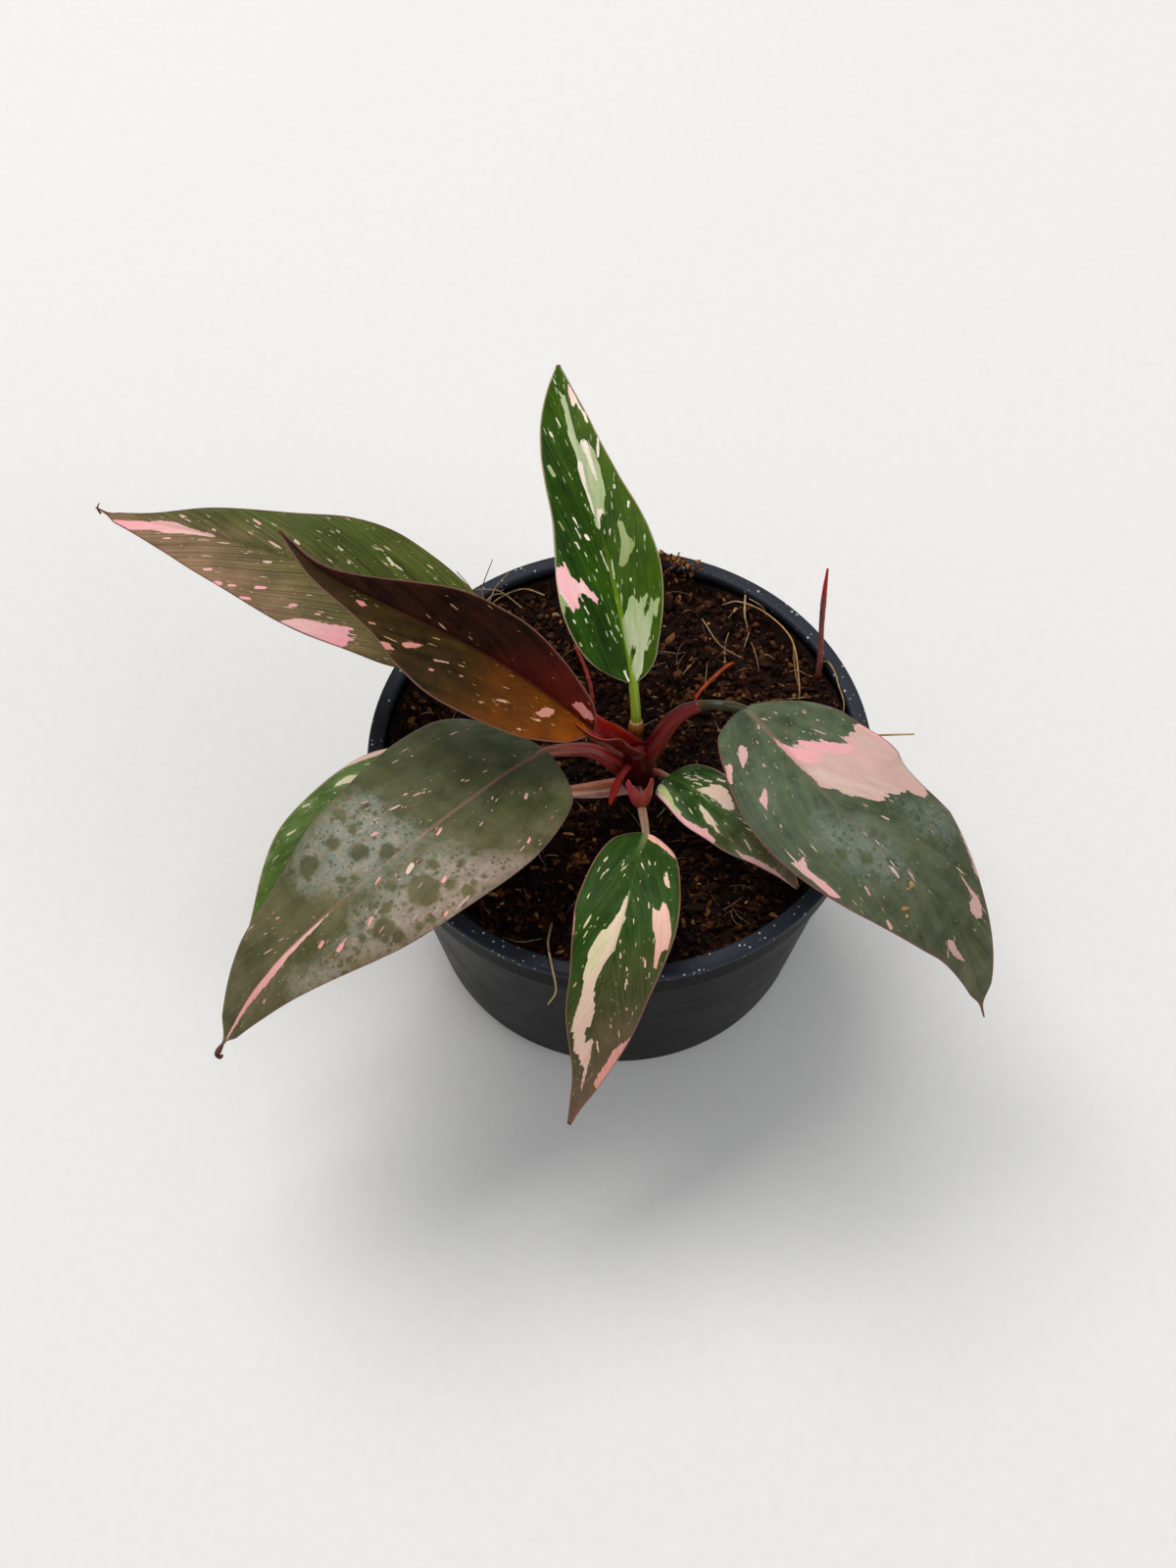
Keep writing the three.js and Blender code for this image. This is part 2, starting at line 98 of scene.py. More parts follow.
def piece(name, points, faces, materials, face_slots=None, attributes=None, smooth=True):
    """A mesh object from points in millimetres, riding with the plant."""
    mesh = bpy.data.meshes.new(name)
    mesh.from_pydata((np.asarray(points) * MM).tolist(), [], [tuple(f) for f in faces])
    for material in materials:
        mesh.materials.append(material)
    if face_slots is not None:
        mesh.polygons.foreach_set("material_index", np.asarray(face_slots, dtype=np.int32))
    for key, values in (attributes or {}).items():
        values = np.asarray(values, dtype=np.float32)
        kind = "FLOAT_VECTOR" if values.ndim == 2 else "FLOAT"
        layer = mesh.attributes.new(key, kind, "POINT")
        layer.data.foreach_set("vector" if values.ndim == 2 else "value", values.ravel())
    mesh.polygons.foreach_set("use_smooth", np.full(len(mesh.polygons), smooth))
    mesh.update()
    made = bpy.data.objects.new(name, mesh)
    bpy.context.collection.objects.link(made)
    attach(made, BODY)
    return made


# ---------------------------------------------------------------- camera, floor and light

LENS_MM = 50
SENSOR_MM = 36  # along the image's long side
VIEW_ELEVATION = 59  # degrees above the horizon
VIEW_DISTANCE = 554
VIEW_TARGET = (-8.3, -9.7, 78)  # a little in front of the pot's axis, at the height of its rim
LAMPS_AIM = (0, 0, 0.08)  # metres
SKY_COLOR, SKY_STRENGTH = "#eef0f2", 0.6
FLOOR_REACH = 6.0  # metres from the middle to each edge
FLOOR_DROP = 0.0002  # metres under the pot


def camera():
    """Looks steeply down at the plant from its front."""
    back = Vector((0, -math.cos(math.radians(VIEW_ELEVATION)), math.sin(math.radians(VIEW_ELEVATION))))
    data = bpy.data.cameras.new("camera")
    data.lens = LENS_MM
    data.sensor_width = SENSOR_MM
    data.clip_start, data.clip_end = 0.01, 20
    view = bpy.data.objects.new("camera", data)
    view.location = (Vector(VIEW_TARGET) + back * VIEW_DISTANCE) * MM
    view.rotation_mode = "QUATERNION"
    view.rotation_quaternion = (-back).to_track_quat("-Z", "Y")
    bpy.context.collection.objects.link(view)
    bpy.context.scene.camera = view


def softbox(name, place, size, watts, color):
    """A rectangular area light at place, in metres, that looks at the plant."""
    data = bpy.data.lights.new(name, "AREA")
    data.shape = "RECTANGLE"
    data.size, data.size_y = size
    data.energy = watts
    data.color = color
    lamp = bpy.data.objects.new(name, data)
    lamp.location = place
    lamp.rotation_mode = "QUATERNION"
    lamp.rotation_quaternion = (Vector(LAMPS_AIM) - Vector(place)).to_track_quat("-Z", "Y")
    bpy.context.collection.objects.link(lamp)


def light_studio():
    """A pale room with two soft boxes."""
    world = bpy.data.worlds.new("studio")
    world.use_nodes = True
    sky = world.node_tree.nodes["Background"].inputs
    sky["Color"].default_value = linear(SKY_COLOR)
    sky["Strength"].default_value = SKY_STRENGTH
    bpy.context.scene.world = world
    bpy.context.scene.view_settings.view_transform = "Standard"
    softbox("key", (-0.75, 1.05, 2.69), (2.1, 1.5), 72.0, (1.0, 0.98, 0.95))
    softbox("fill", (2.1, -1.5, 1.64), (1.8, 1.8), 22.5, (0.95, 0.97, 1.0))


def lay_floor():
    """A sheet of pale paper, far larger than the view."""
    material, add = new_material("pale_paper")
    grain = add("TexNoise", add("TexCoord", out="Object"), into={"Scale": 300.0})
    finish_material(add, add("Mix", grain, "#d3d2d0", "#d9d8d6", data_type="RGBA"), 0.8)
    mesh = bpy.data.meshes.new("floor")
    corners = [(x * FLOOR_REACH, y * FLOOR_REACH, -FLOOR_DROP) for x, y in ((-1, -1), (1, -1), (1, 1), (-1, 1))]
    mesh.from_pydata(corners, [], [(0, 1, 2, 3)])
    mesh.materials.append(material)
    floor = bpy.data.objects.new("floor", mesh)
    bpy.context.collection.objects.link(floor)


# ---------------------------------------------------------------- curves and tubes


def through(values, u):
    """A smooth curve through evenly spaced values, at the shares u of its way."""
    values = np.asarray(values, float).reshape(len(values), -1)
    last = len(values) - 1
    ends = np.vstack([2 * values[0] - values[1], values, 2 * values[-1] - values[-2]])
    i = np.minimum((u * last).astype(int), last - 1)
    w = (u * last - i)[:, None]
    a, b, c, d = ends[i], ends[i + 1], ends[i + 2], ends[i + 3]
    leave, reach = (c - a) / 2, (d - b) / 2
    return (2 * b - 2 * c + leave + reach) * w**3 + (-3 * b + 3 * c - 2 * leave - reach) * w**2 + leave * w + b


def profile(values, u):
    """One size along a run, such as a girth, at its shares u."""
    return through(values, u)[:, 0]


def along_path(path, u):
    """Points at even shares u of a smooth path's length, and that length."""
    dense = through(path, np.linspace(0, 1, 400))
    run = np.r_[0, np.cumsum(np.linalg.norm(np.diff(dense, axis=0), axis=1))]
    return np.column_stack([np.interp(u * run[-1], run, dense[:, k]) for k in range(3)]), run[-1]


def frames_along(points):
    """The direction of a run, the level direction to its left, and the one square to both."""
    ahead = np.gradient(points, axis=0)
    ahead /= np.linalg.norm(ahead, axis=1)[:, None]
    side = np.cross((0.0, 0.0, 1.0), ahead)
    side /= np.maximum(np.linalg.norm(side, axis=1), 1e-6)[:, None]
    return ahead, side, np.cross(ahead, side)


def grid_faces(rows, columns, first=0, closed=False, flip=False):
    """Quads over a grid of points; closed joins the last column to the first."""
    i, k = np.meshgrid(np.arange(rows - 1), np.arange(columns if closed else columns - 1), indexing="ij")
    i, k = i.ravel(), k.ravel()
    after = (k + 1) % columns
    faces = np.column_stack([i * columns + k, (i + 1) * columns + k, (i + 1) * columns + after, i * columns + after])
    return (faces[:, ::-1] if flip else faces) + first


def capped_faces(rings, sides, outward=True):
    """The faces of a closed skin: rings of points, then one point that closes the first ring and
    one that closes the last."""
    faces = grid_faces(rings, sides, closed=True, flip=True).tolist()
    start, end, last = rings * sides, rings * sides + 1, (rings - 1) * sides
    for k in range(sides):
        after = (k + 1) % sides
        faces += [[start, after, k], [end, last + k, last + after]]
    return faces if outward else [face[::-1] for face in faces]


def end_strips(rings, count):
    """The faces that close both ends of a folded skin, where the second half of each ring of points
    comes back beside the first half."""
    faces, last = [], (rings - 1) * count
    for a in range(count // 2 - 1):
        b = count - 1 - a
        faces += [[a, b, b - 1, a + 1], [last + a + 1, last + b - 1, last + b, last + a]]
    return faces


def circle(radius, turn, height=0.0, centre=(0, 0)):
    """Points round an upright axis."""
    return np.column_stack([centre[0] + radius * np.cos(turn), centre[1] + radius * np.sin(turn),
                            np.full(len(turn), float(height))])


def tube(path, girth, sides=16, rings=40, flat=1.0, blunt=0.0):
    """A tapering closed tube, its ends rounded over blunt mm: its points, faces, and each point's
    place along and round it."""
    u = np.linspace(0, 1, rings)
    points, length = along_path(path, u)
    _, side, normal = frames_along(points)
    radius = profile(girth, u)
    if blunt:
        inset = 1 - np.clip(np.minimum(u, 1 - u) * length / blunt, 0, 1)
        radius = radius * np.maximum(np.sqrt(1 - inset**2), 0.12)
    turn = np.linspace(0, 2 * np.pi, sides, endpoint=False)
    ring = side[:, None] * np.cos(turn)[None, :, None] + normal[:, None] * flat * np.sin(turn)[None, :, None]
    skin = points[:, None] + ring * radius[:, None, None]
    spots = np.vstack([skin.reshape(-1, 3), points[:1], points[-1:]])
    way = np.r_[np.repeat(u * length, sides), 0, length]
    return spots, capped_faces(rings, sides), way, np.r_[np.tile(turn, rings), 0, 0]


# ---------------------------------------------------------------- the leaves: sizes and markings

# Each leaf has the sizes of its solid: the midrib's run, the half-widths left and right of it at
# tenths of its length, how far each half folds up at the midrib and curves on towards the margin
# (degrees at base, middle and tip), the margin's wave (height, count and start) and the stalk with
# its girth and how flat that is. A sheath lies round a share of the stalk, from one place to
# another, with a girth of its own. A keel is the bottom of a stalk that is an open channel, with its
# bore and how far its sides come up round it (degrees). Between the shares of drip the blade draws
# in to a narrow tail, and tail is a dry thread on the tip, its run from there and its girth. Fine
# gives a small blade a closer mesh.
LEAVES = {
    "leaf_back": dict(
        rib=[(3, 4, 104), (0, 18, 112), (-4, 35, 118), (-10, 59, 124), (-14, 76, 127), (-16, 86, 128)],
        left=[5, 12, 15, 15, 13.5, 12, 11.5, 10.5, 8.5, 5, 0.5],
        right=[5, 8, 11, 12.5, 12, 10.5, 8, 6, 4.5, 2.5, 0.5],
        fold=[(25, 18, 10), (25, 18, 10)], cup=[(-20, -10, 0), (-20, -10, 0)], wave=(0.5, 3.5, 0.4),
        stalk=[(3.5, -6, 87), (3.7, -3.5, 92), (3.6, -1.5, 98)], girth=[1.6, 1.6, 1.4, 1.3, 1.25, 1.25],
        sheath=(0.2, 0.47, [1.0, 1.5, 1.9, 2.05, 1.85, 1.4]), fine=1.6,
    ),
    "leaf_left_back": dict(
        rib=[(-33, 19, 100), (-50, 23, 108), (-75, 30, 116), (-101, 37, 120), (-118, 42, 119), (-131.5, 46.5, 117)],
        left=[8, 15, 19, 20, 20, 18.5, 16, 12.5, 8, 4, 0.5],
        right=[7, 11, 14.5, 16.5, 15.5, 13, 10.5, 7.5, 4.5, 2, 0.5],
        fold=[(10, 8, 5), (20, 20, 20)], cup=[(-15, -10, 0), (-10, -10, 0)], wave=(0.6, 3, 1.2),
        stalk=[(1, -7, 84), (-8, 0, 87), (-20, 10, 93)], girth=[1.6, 1.5, 1.4, 1.3], drip=(0.95, 0.985),
        tail=([(0.4, -0.2, 0.2), (-0.3, 0.4, 1.0), (-0.2, 0.9, 2.0), (0.4, 1.0, 2.9)], [0.3, 0.24, 0.18, 0.1]),
    ),
    # the warm amber towards the base and left margin is a painted glow of light through the blade; the darker right
    # colours are painted shade, their red warm tone a painted glow
    "leaf_newest": dict(
        rib=[(-7, -10, 104), (-18, -5, 112), (-33, 0, 122), (-52, 5, 132), (-70, 10, 141), (-81, 20, 144)],
        left=[5, 13, 19, 22.5, 24, 23, 18, 11.5, 6, 2.5, 0.5],
        right=[4, 7, 10, 12, 12, 11.5, 9, 5.5, 2.5, 1, 0.5],
        fold=[(20, 20, 20), (50, 50, 40)], cup=[(0, 0, 0), (0, 0, 0)], wave=(0.4, 2.5, 2),
        keel=[(3.2, -8.6, 89.6), (-2.2, -8.9, 95.4), (-6.6, -9.9, 101.6)], bore=[2.2, 2.5, 2.8, 3.2],
        opening=[135, 118, 100, 72],
    ),
    "leaf_left_front": dict(
        rib=[(-19, -12, 98), (-30, -24, 104), (-49, -44, 109), (-66, -58, 105), (-84, -69, 90), (-98, -78, 66)],
        left=[12, 18.5, 21.5, 22, 21, 19, 15.5, 12, 8, 4, 0.5],
        right=[14, 22.5, 25, 25, 23, 21, 18, 14, 10, 6, 0.5],
        fold=[(8, 6, 10), (8, 6, 10)], cup=[(-20, -20, -10), (-20, -20, -10)], wave=(0.7, 3, 0),
        stalk=[(0.5, -10.5, 86), (-3, -10.5, 91), (-9, -10, 95)], girth=[2.1, 2.1, 1.8, 1.5], drip=(0.93, 0.98),
        tail=([(1.2, 1, 1.8), (0, 0, 0), (-0.4, -0.8, -0.6), (0.3, -1.4, -0.9), (0.9, -1, -0.5)],
              [0.3, 0.6, 0.75, 0.6, 0.35]),
    ),
    "leaf_left_under": dict(
        rib=[(-24, -17, 86), (-40, -19, 91), (-58, -24, 93), (-72, -31, 90), (-82, -40, 84), (-93, -54, 71)],
        left=[8, 12, 14, 14.5, 14, 13, 11, 8.5, 5.5, 2.5, 0.5],
        right=[8, 12.5, 14.5, 15, 15.5, 14, 11.5, 9, 6, 3, 0.5],
        fold=[(8, 6, 10), (8, 6, 10)], cup=[(-20, -20, -10), (-20, -20, -10)], wave=(0.5, 3, 2.2),
        stalk=[(0, -11, 79), (-8, -14, 82)], girth=[2.7, 2.6, 1.8, 1.3], flat=0.55,
    ),
    "leaf_front": dict(
        rib=[(6, -31, 90), (3, -42, 94), (0, -57, 94), (-5, -70, 84), (-9, -83, 62), (-13, -89, 46)],
        left=[5, 10, 12, 13, 12.5, 11.5, 10, 7.5, 4.5, 2, 0.5],
        right=[5, 8.5, 11, 12, 10.5, 8.5, 7.5, 5.5, 3.5, 2, 0.5],
        fold=[(12, 8, 10), (12, 8, 10)], cup=[(-20, -15, 0), (-20, -15, 0)], wave=(0.6, 3.5, 0.8),
        stalk=[(4.3, -13.8, 82), (5, -21, 86)], girth=[1.2, 1.2, 1.1, 1.0], fine=1.6,
    ),
    "leaf_right_small": dict(
        rib=[(12, -10.5, 83.5), (18, -17, 88), (26, -27, 90), (36, -36, 88), (43, -43, 84)],
        left=[4, 6.5, 8, 8.5, 8.5, 8.5, 7.5, 6.5, 4.5, 2.5, 0.5],
        right=[6, 7.5, 8.5, 9, 9, 8, 7, 5.5, 4, 2, 0.5],
        fold=[(10, 8, 6), (10, 8, 6)], cup=[(-15, -15, 0), (-15, -15, 0)], wave=(0.4, 3, 0),
        stalk=[(6.5, -8, 79.5), (9, -8.5, 82)], girth=[1, 0.9, 0.9], fine=1.6,
    ),
    "leaf_right": dict(
        rib=[(30, -6, 108), (37, -20, 114), (50, -39, 116), (67, -51, 109), (80, -60, 92), (88, -71, 70)],
        left=[10, 17, 20, 22, 21.5, 20, 17.5, 14, 9, 5, 0.5],
        right=[7, 13, 17, 19.5, 20, 18.5, 15.5, 12, 7, 3, 0.5],
        fold=[(8, 6, 8), (8, 6, 8)], cup=[(-20, -20, -10), (-20, -20, -10)], wave=(0.7, 3, 1.5),
        stalk=[(6, -9, 87), (8.5, -7.8, 94), (12.5, -5.5, 101.5), (18, -4.5, 106), (24, -6, 109)],
        girth=[1.5, 1.5, 1.35, 1.25, 1.25, 1.25], sheath=(0, 0.62, [2.1, 2.4, 2.5, 2.35, 1.95, 1.42]), fine=1.3,
        drip=(0.92, 0.972),
    ),
}

# Patches without chlorophyll: (tint at the base end, tint at the tip end, outline). Tint -1 is
# pale yellow-green, 0 cream and 1 pink. An outline's points are (along the midrib from the
# stalk, across it), left of the midrib positive.
PATCHES = {
    "leaf_back": [
        (-0.35, -0.2, [(80, 1.5), (79.5, 0.5), (75, 0), (71, 0), (66.5, 0), (64, -0.5), (65.5, -1.5), (65, -2.5),
         (62.5, -2.5), (64.5, -3), (62, -3.5), (58, -4), (53.5, -4), (48.5, -3.5), (46.5, -2.5), (44, -2.5), (44, -1),
         (40, 0.5), (40.5, 1), (47.5, 1), (54, 1), (60.5, 1.5), (66.5, 2), (73, 1.5)]),
        (0.4, 0.5, [(64.5, -1), (64.5, -2.5), (60, -2.5), (53, -2.6), (53, -2), (60, -1.4), (63, -0.9)]),
        (0.3, 0.4, [(59, 1.5), (59, 0.2), (56, 0.4), (52, 0.9), (47, 0.4), (44.5, 0.8), (41.5, 0.8), (45, 1.2),
         (51.5, 1.5), (57, 2)]),
        (0.4, 0.45, [(45.5, -0.5), (45, -1.7), (44, -1.6), (43, -0.6), (40, 0), (40, 0.5), (43.5, 0)]),
        (0.5, 0.9, [(82, -1.5), (78, -2.5), (74, -3.2), (72, -4), (69, -4.2), (69.5, -3.5), (73, -3), (76, -2),
         (75, -1.5), (75.5, -1), (79.5, -1)]),
        (-0.8, -0.6, [(41, -5), (40.5, -6), (37, -6), (35, -7), (34, -7.5), (32.5, -7), (31.5, -5.5), (30.5, -5),
         (29.5, -4.5), (29, -2.5), (30, -2.5), (32.5, -3.5), (36, -4.5), (40.5, -4.5), (42, -5.5), (43, -6),
         (42, -6)]),
        (0.95, 0.9, [(31.5, 14), (30.5, 14.5), (32.2, 12.8), (30.8, 12.4), (32, 11.5), (28, 11), (27.5, 9), (28, 8.5),
         (24.5, 7), (20.8, 4.8), (20.8, 6), (24, 8.5), (24.5, 10), (24.8, 10.6), (22.3, 9.5), (23, 10.5), (22.5, 11),
         (20.2, 10.6), (21, 11.5), (19.8, 12.5), (20.5, 13), (24, 14.5), (24.5, 16), (29, 16)]),
        (-0.6, -0.4, [(24.5, 16), (24, 14.5), (20.5, 13), (21, 14), (19.8, 14.2), (19.3, 15.2), (20, 17)]),
        (-0.15, -0.45, [(22.4, -4), (20.6, -4.6), (20.5, -5), (19.5, -5), (19.5, -5.4), (20.5, -5.6), (21.7, -7.5),
         (21, -8), (18.5, -6.5), (16.5, -6), (16.5, -6.5), (18.5, -8), (20.3, -10), (19.5, -10.6), (15.5, -9),
         (15.5, -8.6), (17, -8.5), (14.5, -7.5), (10, -5.6), (10.2, -6.4), (7, -4), (3, -3), (1, -1.5), (0.5, -0.5),
         (5, -0.4), (7.5, -2), (9.7, -2.6), (9, -1.3), (5.5, 0.1), (8, 0.1), (12, 0.5), (16.5, 0), (18, -1.5),
         (21, -3)]),
    ],
    "leaf_left_back": [
        (0.5, 1, [(102.5, 1.7), (97, 1), (93, 0), (89.5, -1), (84, -1.4), (81, -0.6), (74, -0.4), (74, 0.5),
         (79.5, 1.5), (85.5, 2.5), (90.5, 2.5), (94, 3.4), (96.5, 3.5), (99.5, 2.7)]),
        (1, 0.5, [(52, 19.5), (48, 17), (45, 16), (40, 15.5), (34, 14), (33, 17), (35, 21), (40, 21), (47, 21)]),
    ],
    "leaf_newest": [
        (0.8, 0.8, [(54.5, 11), (51.5, 9), (49, 8), (49.5, 9.5), (53, 12)]),
        (0.9, 0.9, [(60, 14.5), (57.5, 13.3), (55, 14.5), (57.5, 16)]),
        (0.9, 0.9, [(67.5, 3.5), (65.5, 3), (64.5, 4), (66, 5.5)]),
        (0.7, 0.7, [(17, 9), (14.5, 4.5), (12, 3.5), (12.5, 6.5), (15, 9)]),
        (1, 1, [(9, -2.2), (8, -3.8), (4.5, -3.6), (2, -2.6), (2.5, -1.5), (5.5, -1.3)]),
    ],
    "leaf_left_front": [
        (0.6, 1, [(121, 0.6), (115, 0.1), (110, -0.1), (103, 0), (99, 0), (95, 0.4), (90, 0.2), (86, 0), (80, 0),
         (75, 0.2), (70, 0.6), (75, 1.1), (80, 1.2), (86, 1.5), (90, 2.2), (95, 2.3), (99, 1.9), (104, 1.5),
         (110, 1.2), (116, 0.9)]),
    ],
    "leaf_left_under": [
        (0.2, 0.6, [(20, -15.8), (30, -16), (42, -16), (52, -15.5), (62, -13.5), (74, -9.8), (74, -8.9), (62, -12.2),
         (52, -13.8), (42, -14.4), (36, -14), (30, -14), (24, -13.8)]),
        (-0.1, 0.2, [(24, -11.5), (27, -12.5), (32, -12.3), (30, -10.8), (26, -10.3)]),
        (-0.2, 0, [(46, -10.5), (41, -9), (37, -9.5), (42, -11.5)]),
    ],
    "leaf_front": [
        (0.1, 0.6, [(19.5, 0), (23, -1), (26, -1.5), (29, -2.5), (31.5, -3.5), (32, -4.5), (34.5, -5), (37.5, -5.6),
         (42, -5.2), (46, -4.6), (50, -4.6), (53, -5), (56.5, -5.5), (59.5, -4.7), (63, -4.2), (65, -3.6), (66, -2.2),
         (68, -1.7), (68.5, -1), (72, -0.5), (76.5, 0), (73, 0.5), (66.5, 0.5), (60, 0.5), (60, -0.5), (61, -1.5),
         (59, -2), (56.5, -2), (56, -1), (53.5, -0.8), (49.5, -0.9), (49.4, -1.6), (47, -1.5), (44, -2), (41.5, -1.5),
         (37.5, -0.8), (35.5, 0.4), (33, 0.1), (28, 0.1), (22, 0.1)]),
        (-0.2, -0.15, [(29.5, -2.7), (32, -3.8), (34.5, -4.7), (37, -5.3), (42, -5), (42.5, -3.5), (40, -2.5),
         (36.5, -2), (33, -1.7)]),
        (0.5, 0.8, [(23, 6), (24.5, 7), (24.4, 8.2), (22.3, 8.6), (22, 9), (24.5, 10.5), (26.5, 11.5), (29, 12.5),
         (30.5, 12.5), (33, 11.4), (36, 11.2), (36, 10.5), (32, 9.5), (30, 9), (28, 7.5), (26, 7)]),
        (0.5, 0.5, [(14.5, 7.5), (15, 8.5), (16, 9), (18, 9.7), (18, 9), (16.5, 7.9)]),
        (0.95, 0.7, [(0, 0.5), (0, 4), (2, 8), (6, 10.2), (8.2, 10.2), (7, 7.5), (5, 5), (3.5, 2.5), (2.5, 1)]),
        (1, 1, [(28, -13), (28, -11.8), (32, -10.9), (35, -10.3), (36, -11), (33, -12)]),
        (0.95, 1, [(55.5, 9.6), (56.5, 8.5), (58.5, 7.5), (61.5, 5.5), (64.5, 4.8), (66.5, 3.9), (72, 2.8), (73, 4),
         (68, 5.5), (62, 8.5)]),
    ],
    "leaf_right_small": [
        (-0.6, -0.5, [(0.5, -4), (2, -3.6), (5.5, -4.8), (8.5, -6), (11.5, -7.3), (14.8, -7.4), (14.8, -8),
         (11.5, -8), (7.5, -7.5), (2.5, -6)]),
        (0.6, 0.95, [(2.5, -6), (7.5, -7.4), (11.5, -8), (15, -8), (18, -7.8), (19.5, -7.2), (21, -6.9), (22, -6),
         (23, -6.6), (25.5, -6.8), (25.5, -9), (17, -10), (8, -10)]),
        (0.2, 0.35, [(10, -0.2), (11.5, 1), (13, 3), (12.8, 4), (15, 5.5), (17, 5.5), (19, 5), (21, 4), (22.8, 3.5),
         (22, 2), (20.5, 1.5), (17, 1.5), (15.5, 1.2), (14, 1), (12.5, 0.4)]),
        (-0.2, 0.4, [(15, -2.3), (16.5, -2.3), (20.5, -2.8), (23, -3.8), (25, -4.6), (23.5, -4.9), (22.5, -4.4),
         (21, -5), (18.5, -4), (17, -3.6)]),
        (0.6, 0.9, [(29.5, -5.3), (34, -4), (40, -2), (45.5, -1), (42, -3.2), (36.5, -6)]),
    ],
    "leaf_right": [
        (0.45, 0.4, [(15, 0), (17, 1), (19.5, 1.5), (21, 2.5), (20.5, 5), (22, 8), (23.5, 9.5), (26, 9.5), (26.5, 12),
         (25, 14.5), (25, 16), (23, 19), (25, 22), (32, 24), (42, 24), (52, 22.5), (57, 20.5), (56.5, 17), (54, 16),
         (52, 16), (50.5, 13), (47.5, 11.5), (48.5, 9), (47, 8), (44, 7), (42, 5.5), (40, 4), (37.5, 3.5), (36, 2),
         (34, 0.5), (32, 1), (29, 0.4), (25.5, -0.3), (21, -0.6), (18, -0.6)]),
        (1, 0.9, [(14.5, 0), (17, 0), (20, 1.5), (21.5, 3), (23, 4), (22.5, 5), (20, 4.4), (23, 8.5), (26.3, 11.5),
         (27.5, 13), (29.5, 13.5), (30.5, 11.5), (29, 10.5), (26, 5.5), (28, 6), (28.5, 4.5), (26.5, 2), (23, -0.1),
         (17.5, -0.5)]),
        (0.9, 0.9, [(22.5, 18.5), (26, 20), (40, 23), (56, 20), (56, 23), (40, 26), (24, 24)]),
        (0.15, 0.25, [(28, 0.3), (31.5, 1.5), (33.5, 2), (37, 3.3), (41.5, 5.6), (47, 8), (46.5, 11), (42, 9.5),
         (36.5, 6.5), (32.5, 5), (29.5, 3.5)]),
        (0.5, 0.5, [(13.3, -8.8), (13.3, -7.6), (14.5, -7.4), (16, -8), (18, -10), (19, -11.6), (16, -10.6)]),
        (0.6, 0.6, [(15.5, -14), (15.5, -13), (16.7, -13), (20.6, -15.5), (20.5, -16), (18.3, -15.7)]),
        (0.6, 0.6, [(26.5, -10.5), (27.5, -10.5), (29.5, -12), (31.2, -13.6), (28, -13.4), (27.4, -12)]),
        (0.6, 0.8, [(41.5, -18.5), (42.3, -17.5), (42.3, -15.5), (43.4, -16.3), (44, -17.2), (48, -17.3), (52.5, -18),
         (50.5, -18.9), (47, -18.9), (43.5, -18.7)]),
        (0.1, 0.1, [(56.3, -3.7), (58.5, -3.8), (61.6, -4.5), (60.3, -4.9), (58.2, -4.6)]),
        (0.3, 0.3, [(60.3, -1.4), (63.5, -1.4), (66, -2.4), (63, -2)]),
        (0.6, 0.6, [(83, -4.5), (84.5, -3), (89, -2.5), (93.5, -1.5), (91, -3), (88, -4.5), (85, -5)]),
        (0.6, 0.6, [(73.5, 9.5), (75.5, 9), (79, 9), (82, 9.5), (84.5, 9), (86.5, 7.5), (85.5, 6), (82.5, 5.5),
         (81, 6.5), (81, 8), (78, 8.5), (75.5, 8.7)]),
        (1, 1, [(64, 19), (69.5, 17.8), (73.5, 16.3), (78.5, 14.8), (80.5, 13.2), (78.5, 13), (75, 14.5), (71, 15.8),
         (66.5, 17.5)]),
    ],
}

